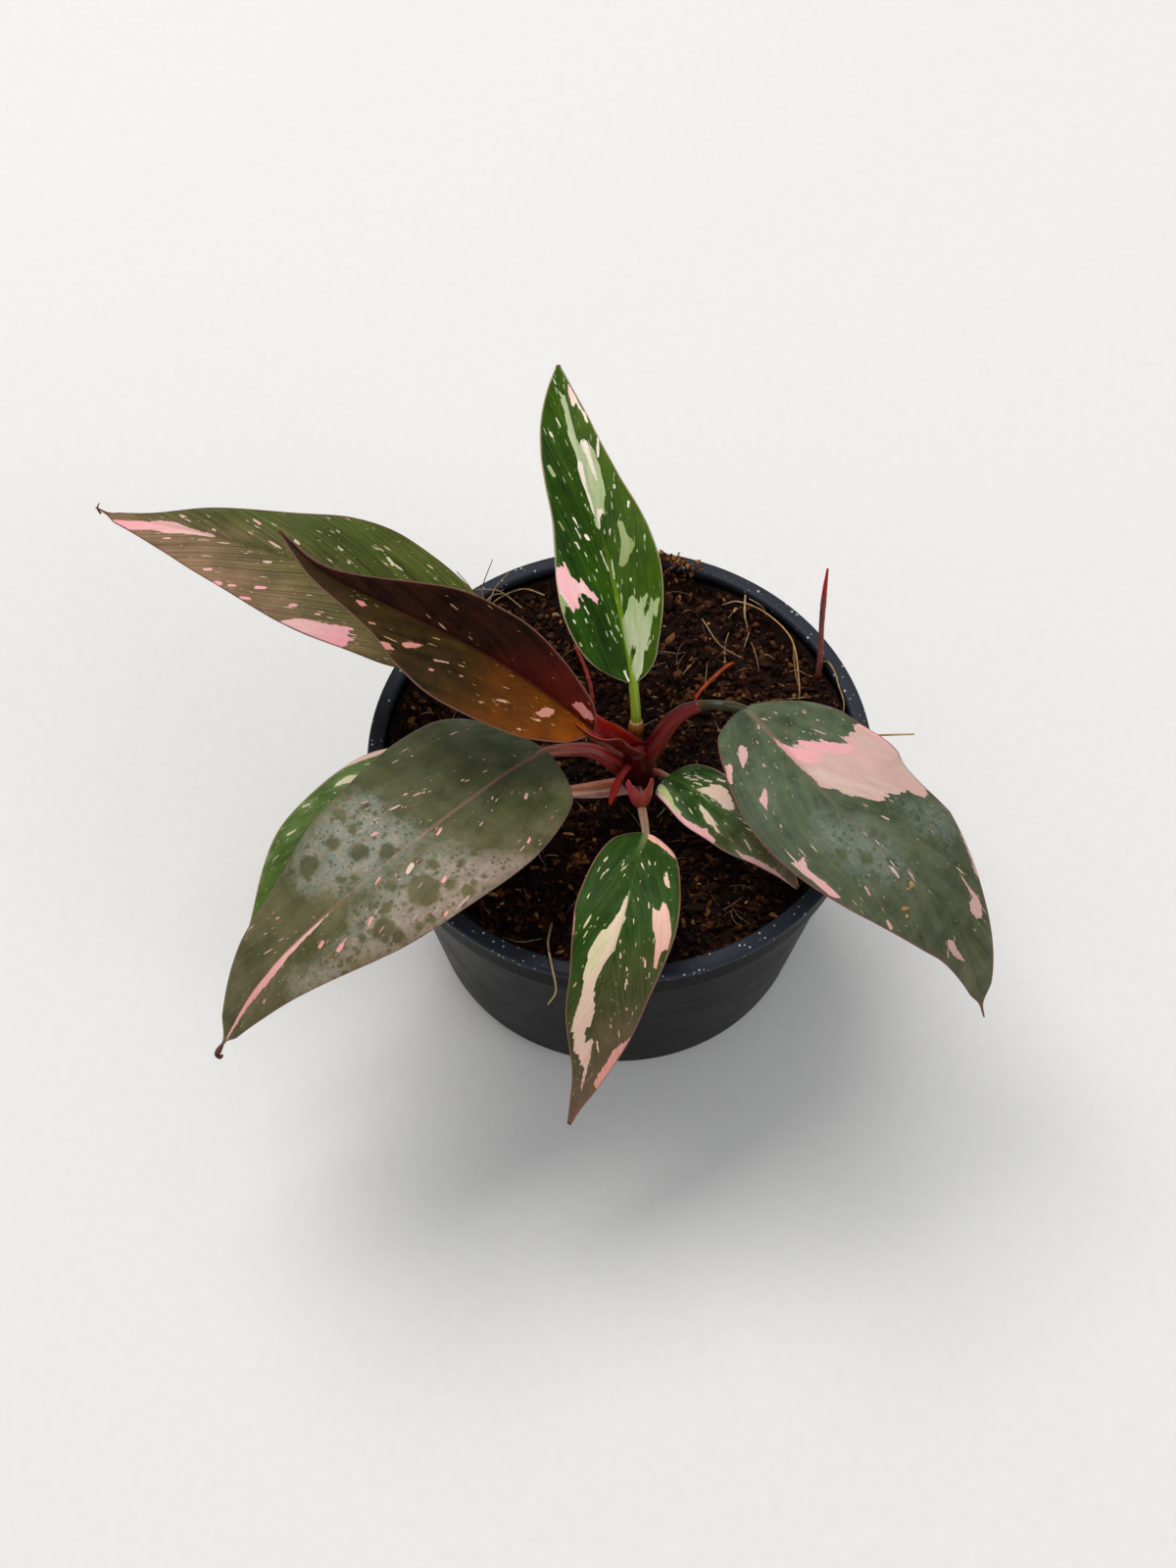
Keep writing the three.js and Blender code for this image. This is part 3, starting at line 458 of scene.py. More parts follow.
# Single flecks that are large enough to have a place of their own, lying along the side veins:
# (along, across, length, width, tint).
FLECKS = {
    "leaf_back": [
        (70.8, 3.7, 2.8, 0.4, 0.1), (67.3, 6.4, 1.9, 0.5, 0), (57, 8.9, 3.8, 1, -0.5), (55, 4.2, 2.5, 0.3, -0.1),
        (49.4, 9.4, 0.9, 0.35, 0), (52.4, -6.7, 2.7, 0.35, -0.2), (49.9, -6.1, 1.2, 0.5, 0.2),
        (44.3, -8.4, 2, 0.6, 0.4), (61.4, -4.7, 5.7, 0.6, 0.5), (42.1, 6.1, 3.3, 0.4, 0.4), (83.4, 2.1, 2.8, 0.35, 0),
        (45.8, 2.2, 2.7, 0.25, -0.3), (39.3, 6.2, 3.3, 0.4, 0.1), (37.9, 4.3, 2.1, 0.9, 0.5),
        (36.1, 7.4, 2.3, 0.5, 0.2), (33.3, 5.8, 1.4, 0.3, 0), (31.3, 1.2, 5.7, 0.5, 0), (28.9, -0.6, 5.3, 0.4, -0.1),
        (28.9, 3.9, 0.9, 0.3, 0), (24.4, -0.8, 1.1, 0.4, -0.1), (25, -4.3, 0.9, 0.45, 0.4),
        (20.5, 0.5, 1.4, 0.35, -0.1), (17, 2, 3.4, 0.25, -0.3), (13.1, 1.6, 3.5, 0.4, -0.1), (11.9, 3.4, 3.7, 0.4, 0),
        (19.1, 8.9, 2.5, 0.4, 0.2), (16.5, 9.6, 1.4, 0.35, 0), (16.8, 12.6, 1.4, 0.5, 0.1),
        (11.2, 12.1, 1.3, 0.4, -0.1), (10.8, 9.5, 1.3, 0.25, 0), (1.8, 1.7, 3.2, 0.6, 0.2),
        (33.5, -9.8, 3.6, 0.4, -0.1), (31.7, -7.6, 0.9, 0.4, -0.2), (38.4, -2.1, 2, 0.35, 0),
        (39.3, -0.8, 1.8, 0.3, -0.1), (41.8, 10.1, 3, 0.5, -0.9),
    ],
    "leaf_left_back": [
        (31, -8.5, 2.8, 0.82, 0.2), (65, -6.5, 2.4, 0.68, 0.5), (54, -4.5, 2, 0.68, 0.3), (59, 3.5, 2.4, 0.54, 0.4),
        (71.5, 11, 2.4, 0.61, 0.8), (69, 14.5, 4.4, 1.22, 1), (58, 11.5, 3, 0.75, 0.9), (64.5, 13.5, 2.4, 0.68, 0.9),
        (43.5, -6.5, 1.8, 0.54, 0.3), (45.5, -10.5, 1.6, 0.54, 0.3), (29.5, -2.5, 1.8, 0.54, 0.2),
        (27, -2, 1.4, 0.54, 0.3), (40.5, -4, 1.6, 0.54, 0.2), (83.5, -3, 2, 0.54, 0.6), (85, 4, 2.4, 0.61, 0.8),
        (60.5, 16, 3, 0.75, 0.9), (49, 13.5, 2.6, 0.68, 0.9), (42.5, 13.5, 2, 0.61, 0.9), (35, -10, 1.6, 0.54, 0.2),
        (76.5, 2.4, 2.4, 0.4, 0.6), (80.5, 5.5, 0.8, 0.4, 0.9), (77, -4.5, 1.2, 0.45, 0.5),
        (74.5, -1.5, 1.2, 0.5, 0.6),
    ],
    "leaf_newest": [
        (62.5, 9.5, 2.2, 0.75, 0.9), (43.5, 10.5, 4.6, 0.68, 0.6), (26.5, 12.5, 3.2, 0.75, 0.5),
        (31.5, 17, 2, 0.68, 0.5), (15.5, 10.5, 2, 0.61, 0.2), (20, 17.5, 1.6, 0.68, 0.2), (45.5, 15, 1.6, 0.68, 0.7),
        (38, 12, 1.4, 0.54, 0.4), (27.5, 14.5, 1.4, 0.54, 0.4),
    ],
    "leaf_left_front": [
        (16.3, 8.3, 2.2, 0.7, 0.7), (38.1, -11.2, 1.9, 0.5, 0.8), (33.4, -8, 2.8, 0.4, 0.7),
        (49.4, -10, 2.4, 0.4, 0.8), (51.2, -7.6, 2.2, 0.8, 0.8), (58.1, 2.3, 2.5, 0.6, 0.9),
        (39.6, 2.2, 2.7, 0.5, 0.9), (47.2, 12.7, 2, 0.8, 0.9), (51.7, 19.3, 1.3, 0.8, 0.9), (25, 17.6, 2.3, 0.5, 0.9),
        (77.1, 5.4, 2.2, 0.9, 0.9), (73.7, 9.1, 2.5, 1, 0.9), (47.2, -16, 2, 0.6, 0.8), (40.8, -8.6, 1.4, 0.5, 0.8),
        (24, -4.6, 3.4, 0.35, 0.2), (23, 3.5, 1.4, 0.5, 0.7), (65, 9, 2.4, 0.6, 0.9), (99, 4.5, 1.6, 0.5, 0.9),
        (83.5, -8, 1.4, 0.5, 0.9), (28, -19, 1.8, 0.4, 0.8), (50.9, 5.2, 3, 1.2, 0.35),
    ],
    "leaf_left_under": [
        (30, -7, 2.4, 0.68, 0.1), (36, -6, 1.6, 0.61, 0), (52, -10, 2.2, 0.61, 0.1), (58, -6.5, 2.6, 0.61, 0),
        (66, -8, 2, 0.61, 0.4), (47, -5, 1.6, 0.54, 0), (72, -6, 1.8, 0.54, 0.2),
    ],
    "leaf_front": [
        (12.5, -7, 1.8, 0.3, 0.1), (16, -6.5, 2.2, 0.3, 0.1), (14, -2.3, 2, 0.3, 0.1), (12.5, 2, 2.6, 0.3, 0.1),
        (11, 3.3, 1.6, 0.3, 0.1), (31.5, -7, 1.2, 0.3, 0.3), (31, -6, 1, 0.3, 0.3), (30, -4, 1.4, 0.27, 0.1),
        (32.5, 1, 0.9, 0.34, 0.3), (35.5, 2, 1.4, 0.38, 0.4), (38, 3, 1.4, 0.34, 0.4), (38, 4.5, 0.9, 0.3, 0.5),
        (41, 5.5, 1.6, 0.38, 0.6), (35, 8, 2.4, 0.49, 0.7), (44.5, 2.5, 0.8, 0.3, 0.7), (48, 7, 1, 0.46, 0.9),
        (60.5, 1.5, 2.6, 0.38, 0.3), (62, 2, 1, 0.3, 0.5), (70, 1.5, 0.8, 0.3, 0.6), (46, -6.5, 1.6, 0.34, 0.8),
        (22, 2.5, 1, 0.27, 0.2), (27.5, 0.5, 1.6, 0.27, 0.2), (54, 4, 1, 0.3, 0.7), (57.5, 3.5, 0.8, 0.3, 0.7),
    ],
    "leaf_right_small": [
        (4, 2.3, 1.2, 0.4, 0.2), (8, 1.9, 2.5, 0.45, 0.3), (11.1, 3.9, 2.1, 0.5, 0.3), (9.1, 0.4, 0.9, 0.5, 0.2),
        (11, -1.7, 0.8, 0.35, 0), (10, -5.4, 1.5, 0.4, -0.2), (14.6, 0.1, 4, 0.3, -0.2), (25.7, 2.2, 2.8, 0.3, 0.1),
        (23.7, -1.5, 0.6, 0.45, 0), (13.1, 6.3, 2.4, 0.5, 0.5), (31, -2, 3.4, 0.4, 0.2),
    ],
    "leaf_right": [
        (7.4, 1.5, 1.9, 0.4, 0.5), (10.7, 8.4, 1.1, 0.45, 0.3), (16.3, 11.5, 0.8, 0.4, 0.2),
        (19.9, 9.7, 3.3, 0.4, 0.4), (17.7, 6.7, 0.8, 0.3, 0.3), (17.2, 2.5, 1.9, 0.35, 0.4),
        (9.8, -1.4, 2.5, 0.45, 0.4), (20.8, -6.9, 1.3, 0.35, 0.3), (21.9, -4.5, 1.1, 0.4, 0.2),
        (26.1, -8.1, 0.5, 0.4, 0.6), (26.1, -7.2, 0.5, 0.4, 0.6), (56, -12.5, 2.6, 0.5, 0.7),
        (66, -14.5, 2.6, 0.7, 0.7), (36, -14, 1.8, 0.4, 0.5),
    ],
}

# A silvery film of dried hard water: outlines as above, and round spots (along, across, radius)
# that the drops left clear.
BLOOMS = {
    "leaf_left_front": [
        [(52, -22), (46, -19), (43, -15), (45, -9), (42, -3), (43, 2), (51, 2.5), (60, 2.5), (66, -1), (72, -4.5),
         (75, -10.5), (72, -17), (62, -20)],
        [(45, 3), (41, 6), (36, 12.5), (31, 17.5), (27, 22), (41, 23), (52, 22), (61, 19.5), (69, 17), (75, 13),
         (74, 8), (68, 5), (60, 3.8), (52, 3.5)],
        [(89, 6.5), (81, 7.5), (74, 12), (74.5, 15.5), (82, 14), (90, 10.5)],
    ],
    "leaf_right": [
        [(36, -7), (39, -3), (46, 2), (56, 2), (64, -3), (60, -9), (52, -12), (44, -12)],
        [(48, 11), (58, 17), (66, 17), (70, 13), (60, 9)],
    ],
}
DROPS = {
    "leaf_left_front": [
        (57, -6.5, 2.4), (52, -2, 2.2), (60.5, -12.5, 1.8), (54.5, -12, 1.4), (54, -17.5, 2), (69, -12.5, 3),
        (52, 11.5, 3.9), (46.5, 8, 1.6), (48.5, 5, 1.5), (47, 14.5, 1.5), (56.5, 5.5, 1.2), (60.5, 9, 1.2),
        (64, 12.5, 2.8), (70.5, 5, 1.5), (65, -4.5, 1), (62, -2, 1), (63, 6, 1), (55, 17.5, 1.1), (58, 17.5, 1.2),
        (62.5, 16, 1.6), (45, 18.5, 1.6), (51, 5.5, 1), (69, 11, 1), (67, 8, 1.1), (42, 12, 1.2), (48, -15, 1.3),
    ],
    "leaf_right": [
        (52, -6, 1.8), (57, -3, 1.2), (47, -9, 1.4), (50, 1, 1.1), (56, -9, 1.3),
    ],
}

# How each leaf is coloured. Its tissue is deep, mid or warm, and spread says how far the warm one
# reaches (at the base, added by the tip, added at the left margin); right replaces the three on the
# midrib's right. On the newest leaf the warm amber is a painted glow of light through the blade, and
# its right colours are painted shade on the half that folds up, with a painted red glow at the base.
# Streaky goes from mottled, 0, to streaked, 1; lines is the contrast of fine lines.
# Stops and pink are the patches' tints, and halo is how strongly halo_color shows round them.
# Flecks is the share of places that have a fleck, and fleck_tints the range of its tint. The midrib
# is rib_width mm wide at its base on either side and fades between the shares rib_fade. Lean is how
# far the side veins run on towards the tip for each mm across, at the base, and added by the tip.
# Film and veil are how thickly the silver film lies in its outlines and all over, haze its colours
# and blush the one at the left margin; the veil all over is partly a painted sheen. The tip is dry from
# the share dry on; tip_bend is how many mm of it hook over, and to where. Under is the underside's
# colour, relief the depth of the skin's grain in mm, and gloss its specular level.
TONES = {
    "leaf_back": dict(
        deep="#112602", mid="#294a07", warm="#4a6206", spread=(0.35, 0.35, -0.5), flecks=0.01, fleck_tints=(0.2, 0.5),
        rib="#6f8c18", rib_fade=(0.2, 0.45), margin="#b09c7c", halo=0.2, lean=(2.6, 2.2), gloss=0.12, pink="#eaacb2",
        stops=((0.0, "#7c8244"), (0.3, "#9aa878"), (0.5, "#c8c8ae"), (0.75, "#e6d6c8")),
    ),
    "leaf_left_back": dict(
        deep="#353f10", mid="#4c5420", warm="#7c6048", spread=(-0.5, 0.85, 0.85), flecks=0.03, fleck_tints=(0.4, 0.9),
        rib="#525024", margin="#5c2c26", lines=0.38, tip_bend=(5, (-0.6, 0, 2.4)), halo=0.1, pink="#e39aa2",
    ),
    "leaf_newest": dict(
        deep="#22190b", mid="#3a2a12", warm="#743a04", spread=(0.75, -2.1, 0.4), flecks=0.009, fleck_tints=(0.4, 0.7),
        right=("#170804", "#34180e", "#64160a"), rib="#431409", margin="#7c564c", under="#3c1814", halo=0.0,
        lines=0.04, gloss=0.1, streaky=0.25, relief=0.05, pink="#c47c72",
        stops=((0.0, "#8c8048"), (0.45, "#b09c76"), (0.75, "#bc8e7a")),
    ),
    "leaf_left_front": dict(
        deep="#203210", mid="#3c4a24", warm="#604e22", spread=(0.2, 0.35, 0.1), flecks=0.012, fleck_tints=(0.6, 1),
        rib="#7c5e46", rib_fade=(0.5, 1), rib_width=0.8, margin="#5c4236", film=0.74, veil=0.14,
        haze=("#8b958c", "#a89e92"), blush="#b8998e", streaky=0.3, relief=0.07, dry=0.972, dry_color="#4a2a18",
        halo=0.0, pink="#e0908e",
    ),
    "leaf_left_under": dict(
        deep="#294312", mid="#486426", warm="#66703a", spread=(0.1, 0.3, -0.2), flecks=0.05, fleck_tints=(0.3, 0.6),
        rib="#6c7c3a", margin="#9c7c68", halo=0.45, halo_color="#8a9a6c",
    ),
    "leaf_front": dict(
        deep="#1a3208", mid="#34501a", warm="#6f5444", spread=(-0.55, 1.3, 0.35), flecks=0.014,
        fleck_tints=(0.35, 0.7), rib="#6f7c4a", rib_fade=(0.02, 0.12), margin="#8c5c54", halo=0.15, pink="#d99488",
        gloss=0.14, stops=((0.0, "#a4a464"), (0.3, "#c4c28e"), (0.5, "#dccbab"), (0.75, "#deb9a6")),
    ),
    "leaf_right_small": dict(
        deep="#143004", mid="#2c4812", warm="#6c5c48", spread=(-0.5, 1.5, 0), flecks=0.085, fleck_tints=(0.3, 0.6),
        rib="#3f5c1e", margin="#a87c74", halo=0.4, halo_color="#6c7e58", gloss=0.12,
    ),
    "leaf_right": dict(
        deep="#26361a", mid="#4a5436", warm="#5a4c2a", spread=(0.0, 0.5, -0.1), flecks=0.012, fleck_tints=(0.4, 0.8),
        rib="#6c5c44", rib_fade=(0.1, 0.5), margin="#7c3a42", film=0.5, veil=0.12, halo=0.1, lines=0.1,
        pink="#d99a9c", streaky=0.3, relief=0.07, stops=((0.0, "#b4ae8e"), (0.45, "#cbb4a2"), (0.7, "#bd9c92")),
        haze=("#7f8b86", "#90968e"),
    ),
}

BLADE = dict(rows_per_mm=1.9, columns_per_mm=1.6, crowding=1.3, base_round=0.07, tip_width=0.25, thickness=0.5)
VEIN_PITCH = 6.0  # mm between the main side veins, along the midrib
VEIN_BEND = 0.02  # mm that a vein has run on towards the tip, per square mm across
DRAWN_IN = 0.78  # how much of its width a blade loses to its drip tip
RELIEF = dict(dents=0.3, side_veins=0.09, midrib=0.28, keel=0.95)  # mm up or down
FAR = 30.0  # mm, for spots with no mark near

# ---------------------------------------------------------------- the leaves: shape


def signed_distance(spots, outline):
    """How far each spot lies outside a closed outline, negative inside it."""
    nearest = np.full(len(spots), 1e9)
    inside = np.zeros(len(spots), bool)
    corners = np.asarray(outline, float)
    for start, end in zip(corners, np.roll(corners, -1, axis=0)):
        edge, away = end - start, spots - start
        share = np.clip(away @ edge / max(edge @ edge, 1e-9), 0, 1)
        nearest = np.minimum(nearest, np.linalg.norm(away - share[:, None] * edge, axis=1))
        rise = end[1] - start[1]
        if rise:
            crosses = (start[1] > spots[:, 1]) != (end[1] > spots[:, 1])
            inside ^= crosses & (spots[:, 0] < start[0] + away[:, 1] * edge[0] / rise)
    return np.where(inside, -nearest, nearest)


def vein_lean(node, u):
    """How far the side veins run on towards the tip for each mm across."""
    at_base, by_tip = TONES[node].get("lean", (1.3, 2.4))
    return at_base + by_tip * u


def markings(node, spots, strands, length):
    """Distance to the nearest pale patch and its tint, to the silver film and to its clear spots.
    Strands are the spots' places across and along the veins: patches end in teeth along them."""
    patch, bloom, drops = (np.full(len(spots), FAR) for _ in range(3))
    tint = np.zeros(len(spots))
    heading = np.column_stack([vein_lean(node, spots[:, 0] / length), np.sign(spots[:, 1])])
    heading /= np.linalg.norm(heading, axis=1)[:, None]
    teeth = np.array([0.8 - 2 * abs(noise.noise((x / 1.1, y / 9, 4))) + 0.6 * noise.noise((x / 0.5, y / 5, 9))
                      for x, y in strands])
    for base_tint, tip_tint, outline in PATCHES[node]:
        runs, sides = np.array(outline).T
        size = abs(np.dot(runs, np.roll(sides, -1)) - np.dot(sides, np.roll(runs, -1))) / 2
        reach = min(1.8, 0.35 * size / max(np.ptp(runs), np.ptp(sides)))  # narrow patches get short teeth
        away = signed_distance(spots + heading * (teeth * reach)[:, None], outline)
        share = np.clip((spots[:, 0] - min(runs)) / (max(runs) - min(runs)), 0, 1)
        takes = (away < patch) | (away < 0)
        tint = np.where(takes, base_tint + (tip_tint - base_tint) * share, tint)
        patch = np.minimum(patch, away)
    for along, across, run, width, fleck_tint in FLECKS[node]:
        heading = np.array([vein_lean(node, along / length), np.clip(across / 2, -1, 1)])
        heading /= np.linalg.norm(heading)
        away = spots - (along, across)
        share = np.clip(away @ heading, -(run - width) / 2, (run - width) / 2)
        gap = np.linalg.norm(away - share[:, None] * heading, axis=1) - width / 2
        tint = np.where(gap < patch, fleck_tint, tint)
        patch = np.minimum(patch, gap)
    for outline in BLOOMS.get(node, []):
        bloom = np.minimum(bloom, signed_distance(spots, outline))
    for along, across, radius in DROPS.get(node, []):
        drops = np.minimum(drops, np.hypot(spots[:, 0] - along, spots[:, 1] - across) - radius)
    return dict(patch=patch, tint=tint, bloom=bloom, drops=drops)


def smooth_step(low, high, value):
    """Goes smoothly from 0 at low to 1 at high."""
    share = np.clip((value - low) / (high - low), 0, 1)
    return share * share * (3 - 2 * share)


def noise_field(spots, size, seed):
    """Smooth noise, about -1 to 1, with lumps of the given size, at 2-D spots."""
    return np.array([noise.noise((x / size, y / size, seed)) for x, y in spots])


def blade_surface(leaf):
    """The blade's middle surface in rows across the midrib. Returns its points, how far each lies
    left of the midrib, the rows' shares of the length, that length and the midrib's normals."""
    _, length = along_path(leaf["rib"], np.array([0.0, 1.0]))
    fine = leaf.get("fine", 1.0)
    rows = round(length * BLADE["rows_per_mm"] * fine)
    columns = max(14, round(max(leaf["left"] + leaf["right"]) * BLADE["columns_per_mm"] * fine))
    u = np.linspace(0, 1, rows) ** BLADE["crowding"]
    rib, _ = along_path(leaf["rib"], u)
    _, side, normal = frames_along(rib)
    closing = np.sqrt(1 - (1 - np.minimum(u / BLADE["base_round"], 1)) ** 2)
    out = 1 - (1 - np.linspace(0, 1, columns + 1)) ** 1.15  # columns crowd towards the margin
    height, count, phase = leaf["wave"]
    sheet = np.zeros((rows, 2 * columns + 1, 3))
    across = np.zeros((rows, 2 * columns + 1))
    sheet[:, columns] = rib
    for half, (edge, sign) in enumerate((("left", 1), ("right", -1))):
        width = profile(leaf[edge], u)
        if "drip" in leaf:
            width = width * (1 - DRAWN_IN * smooth_step(*leaf["drip"], u))
        reach = np.maximum(width * closing, BLADE["tip_width"] * (1.2 - u))
        fold = np.radians(profile(leaf["fold"][half], u))
        cup = np.radians(profile(leaf["cup"][half], u))
        wave = height * np.sin(np.pi * u) * np.sin(2 * np.pi * count * u + phase + sign)
        at = rib.copy()
        for j in range(1, columns + 1):
            angle = (fold + cup * (out[j] + out[j - 1]) / 2)[:, None]
            step = (reach * (out[j] - out[j - 1]))[:, None]
            at = at + step * (side * sign * np.cos(angle) + normal * np.sin(angle))
            column = columns - sign * j
            sheet[:, column] = at + normal * (wave * out[j] ** 2)[:, None]
            across[:, column] = sign * reach * out[j]
    return sheet, across, u, length, normal


def leaf_sheet(node, seed):
    """The blade as a closed skin with sunken veins above and raised ones below."""
    tone = TONES[node]
    sheet, across, u, length, normal = blade_surface(LEAVES[node])
    rows, width = across.shape
    way = np.repeat((u * length)[:, None], width, axis=1)
    reach_at = np.where(across >= 0, across[:, :1], -across[:, -1:])
    rim = np.minimum(np.minimum(reach_at - np.abs(across), length - way), 60)

    # the sheet's own normals, then its relief: side veins, swells between them and soft dents
    left = np.gradient(sheet, axis=1)
    ahead = np.gradient(sheet, axis=0)
    up = np.cross(left, ahead)
    up /= np.linalg.norm(up, axis=2)[..., None]
    up *= np.sign(np.sum(up * normal[:, None], axis=2))[..., None]
    off = np.abs(across)
    lean = vein_lean(node, u)[:, None]
    strand = way - lean * off - VEIN_BEND * off**2
    stretch = math.sqrt(1 + vein_lean(node, 0.4) ** 2)  # a vein's own length per mm across
    spots = np.column_stack([way.ravel(), across.ravel()])
    jitter = noise_field(spots, 14, seed + 5.0).reshape(way.shape)
    phase_at = strand / VEIN_PITCH + 0.3 * jitter
    from_vein = np.abs(phase_at - np.round(phase_at)) * VEIN_PITCH / stretch
    living = smooth_step(0, 3, rim) * smooth_step(0.4, 2.5, off)
    vein_groove = np.exp(-(from_vein / 0.35) ** 2) * living
    rib_width = 0.35 + 0.6 * (1 - u)[:, None]
    groove = np.exp(-(off / rib_width) ** 2) * (1 - u[:, None] ** 3)
    dents = noise_field(spots, 11, seed).reshape(way.shape)
    swell = (RELIEF["dents"] * dents * smooth_step(0, 4, rim) - RELIEF["side_veins"] * vein_groove
             - RELIEF["midrib"] * groove)
    thin = 0.35 + 0.65 * smooth_step(0, 1.2, rim)
    top = sheet + up * (BLADE["thickness"] / 2 * thin + swell)[..., None]
    keel = RELIEF["keel"] * np.exp(-(off / (0.7 + 0.7 * (1 - u)[:, None])) ** 2) * (1 - 0.85 * u[:, None])
    below = sheet + up * (-BLADE["thickness"] / 2 * thin + swell * 0.8 - keel + 0.25 * groove)[..., None]
    bend = tone.get("tip_bend")
    if bend:  # the last few millimetres hook up or curl under
        share = smooth_step(1 - bend[0] / length, 1, u)[:, None, None] ** 1.5
        for face in (top, below):
            face += share * np.asarray(bend[1], float)

    points = np.vstack([top.reshape(-1, 3), below.reshape(-1, 3)])
    lower = rows * width
    faces = grid_faces(rows, width, flip=True).tolist() + grid_faces(rows, width, first=lower).tolist()
    slots = [0] * (len(faces) // 2) + [1] * (len(faces) // 2)
    # a strip round the margin joins the two sides
    margin = list(range(width)) + [i * width + width - 1 for i in range(1, rows)]
    margin += [(rows - 1) * width + k for k in range(width - 2, -1, -1)]
    margin += [i * width for i in range(rows - 2, 0, -1)]
    for a, b in zip(margin, margin[1:] + margin[:1]):
        faces.append([a, a + lower, b + lower, b])
        slots.append(0)
    at_base, by_tip, by_left = tone["spread"]
    warm = at_base + by_tip * way / length + by_left * (across / np.maximum(reach_at, 0.1) + 1) / 2
    half = 50 * seed + 20 * np.sign(across)  # keeps the two halves' streaks apart
    strands = np.column_stack([(strand / stretch + half).ravel(), (off * stretch).ravel()])
    fields = dict(
        rim=rim.ravel(), warm=warm.ravel(), share=np.repeat(u, width), vein=np.column_stack([strands, half.ravel()]),
        place=np.column_stack([spots, np.full(len(spots), seed * 3.7)]), **markings(node, spots, strands, length),
    )
    return points, faces, slots, {key: np.concatenate([value, value]) for key, value in fields.items()}


def stalk_path(node):
    """The stalk's run, from inside the stem to where it has run out under the midrib."""
    leaf = LEAVES[node]
    rib, _ = along_path(leaf["rib"], np.array([0.0, 0.05, 0.1]))
    _, _, normal = frames_along(rib)
    foot = np.array(leaf["stalk"][0], float)
    first = foot + (foot - np.array(leaf["stalk"][1], float)) * 0.3
    return [first, *leaf["stalk"], rib[0] - normal[0] * 0.9, rib[1] - normal[1] * 1.2]


def leaf_stalk(node):
    """The stalk as a tube, and the sheath round it where it has one."""
    leaf = LEAVES[node]
    path = stalk_path(node)
    girth = [*leaf["girth"], 0.8]
    parts = [(2, tube(path, girth, sides=28, rings=70, flat=leaf.get("flat", 1.0)))]
    if "sheath" in leaf:
        start, end, sheath_girth = leaf["sheath"]
        run, _ = along_path(path, np.linspace(start, end, 24))
        parts.append((3, tube(run, sheath_girth, sides=28, rings=50, blunt=0.7)))
    if "tail" in leaf:
        offsets, tail_girth = leaf["tail"]
        parts.append((-1, tube(np.array(leaf["rib"][-1]) + offsets, tail_girth, sides=12, rings=30)))
    return parts


def leaf_channel(node):
    """A young stalk whose sides stand up either side of a channel that opens into the blade."""
    leaf = LEAVES[node]
    rings, steps, wall = 60, 18, 0.75
    rib, _ = along_path(leaf["rib"], np.array([0.0, 0.06, 0.12]))
    _, _, lift = frames_along(rib)
    u = np.linspace(0, 1, rings)
    keel, length = along_path([*leaf["keel"], rib[1] - lift[1] * 0.75], u)
    _, side, normal = frames_along(keel)
    bore, opening = profile(leaf["bore"], u), np.radians(profile(leaf["opening"], u))
    turn = np.linspace(-1, 1, steps)
    skin = np.zeros((rings, 2 * steps, 3))
    for inside, slots in ((0, range(steps)), (1, range(2 * steps - 1, steps - 1, -1))):
        for t, k in zip(turn, slots):
            reach = bore - inside * wall * (1 - 0.5 * t * t)
            rise = 1.25 * (bore - reach * np.cos(opening * t))
            skin[:, k] = keel + side * (reach * np.sin(opening * t))[:, None] + normal * rise[:, None]
    faces = grid_faces(rings, 2 * steps, closed=True, flip=True).tolist() + end_strips(rings, 2 * steps)
    way, turned = np.repeat(u * length, 2 * steps), np.tile(np.linspace(0, 2 * np.pi, 2 * steps), rings)
    return [(2, (skin.reshape(-1, 3), faces, way, turned))]


def grow_leaf(node, seed):
    """One leaf as one piece: its blade, its stalk and what else it has."""
    points, faces, slots, fields = leaf_sheet(node, seed)
    channel = "keel" in LEAVES[node]
    first = len(points)
    parts = leaf_channel(node) if channel else leaf_stalk(node)
    points, fields = [points], {key: [value] for key, value in fields.items()}
    skins = [leaf_skin(node), leaf_skin(node, under=True), stalk_skin(node)]
    if "sheath" in LEAVES[node]:
        skins.append(stalk_skin(f"{node}_sheath"))
    if "tail" in LEAVES[node]:
        skins.append(root_skin(f"{node}_dry_tip", "#6a4628", "#3c2214"))
    for slot, (skin, sides, way, turn) in parts:
        faces += [[k + first for k in face] for face in sides]
        slots += [len(skins) - 1 if slot < 0 else slot] * len(sides)
        first += len(skin)
        points.append(skin)
        extra = dict(
            share=way / way.max(), vein=np.column_stack([turn, way, way * 0 + seed]),
            place=np.column_stack([way, turn, way * 0 + seed * 3.7 + slot]),
            warm=turn / (2 * np.pi) if channel else (np.cos(turn) + 1) / 2,
        )
        for key, values in fields.items():
            values.append(extra.get(key, np.zeros(len(skin))))
    fields = {key: np.concatenate(values) for key, values in fields.items()}
    grown = piece(f"{node}_grown", np.vstack(points), faces, skins, slots, fields)
    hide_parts(node)
    return grown


# ---------------------------------------------------------------- the leaves: skins


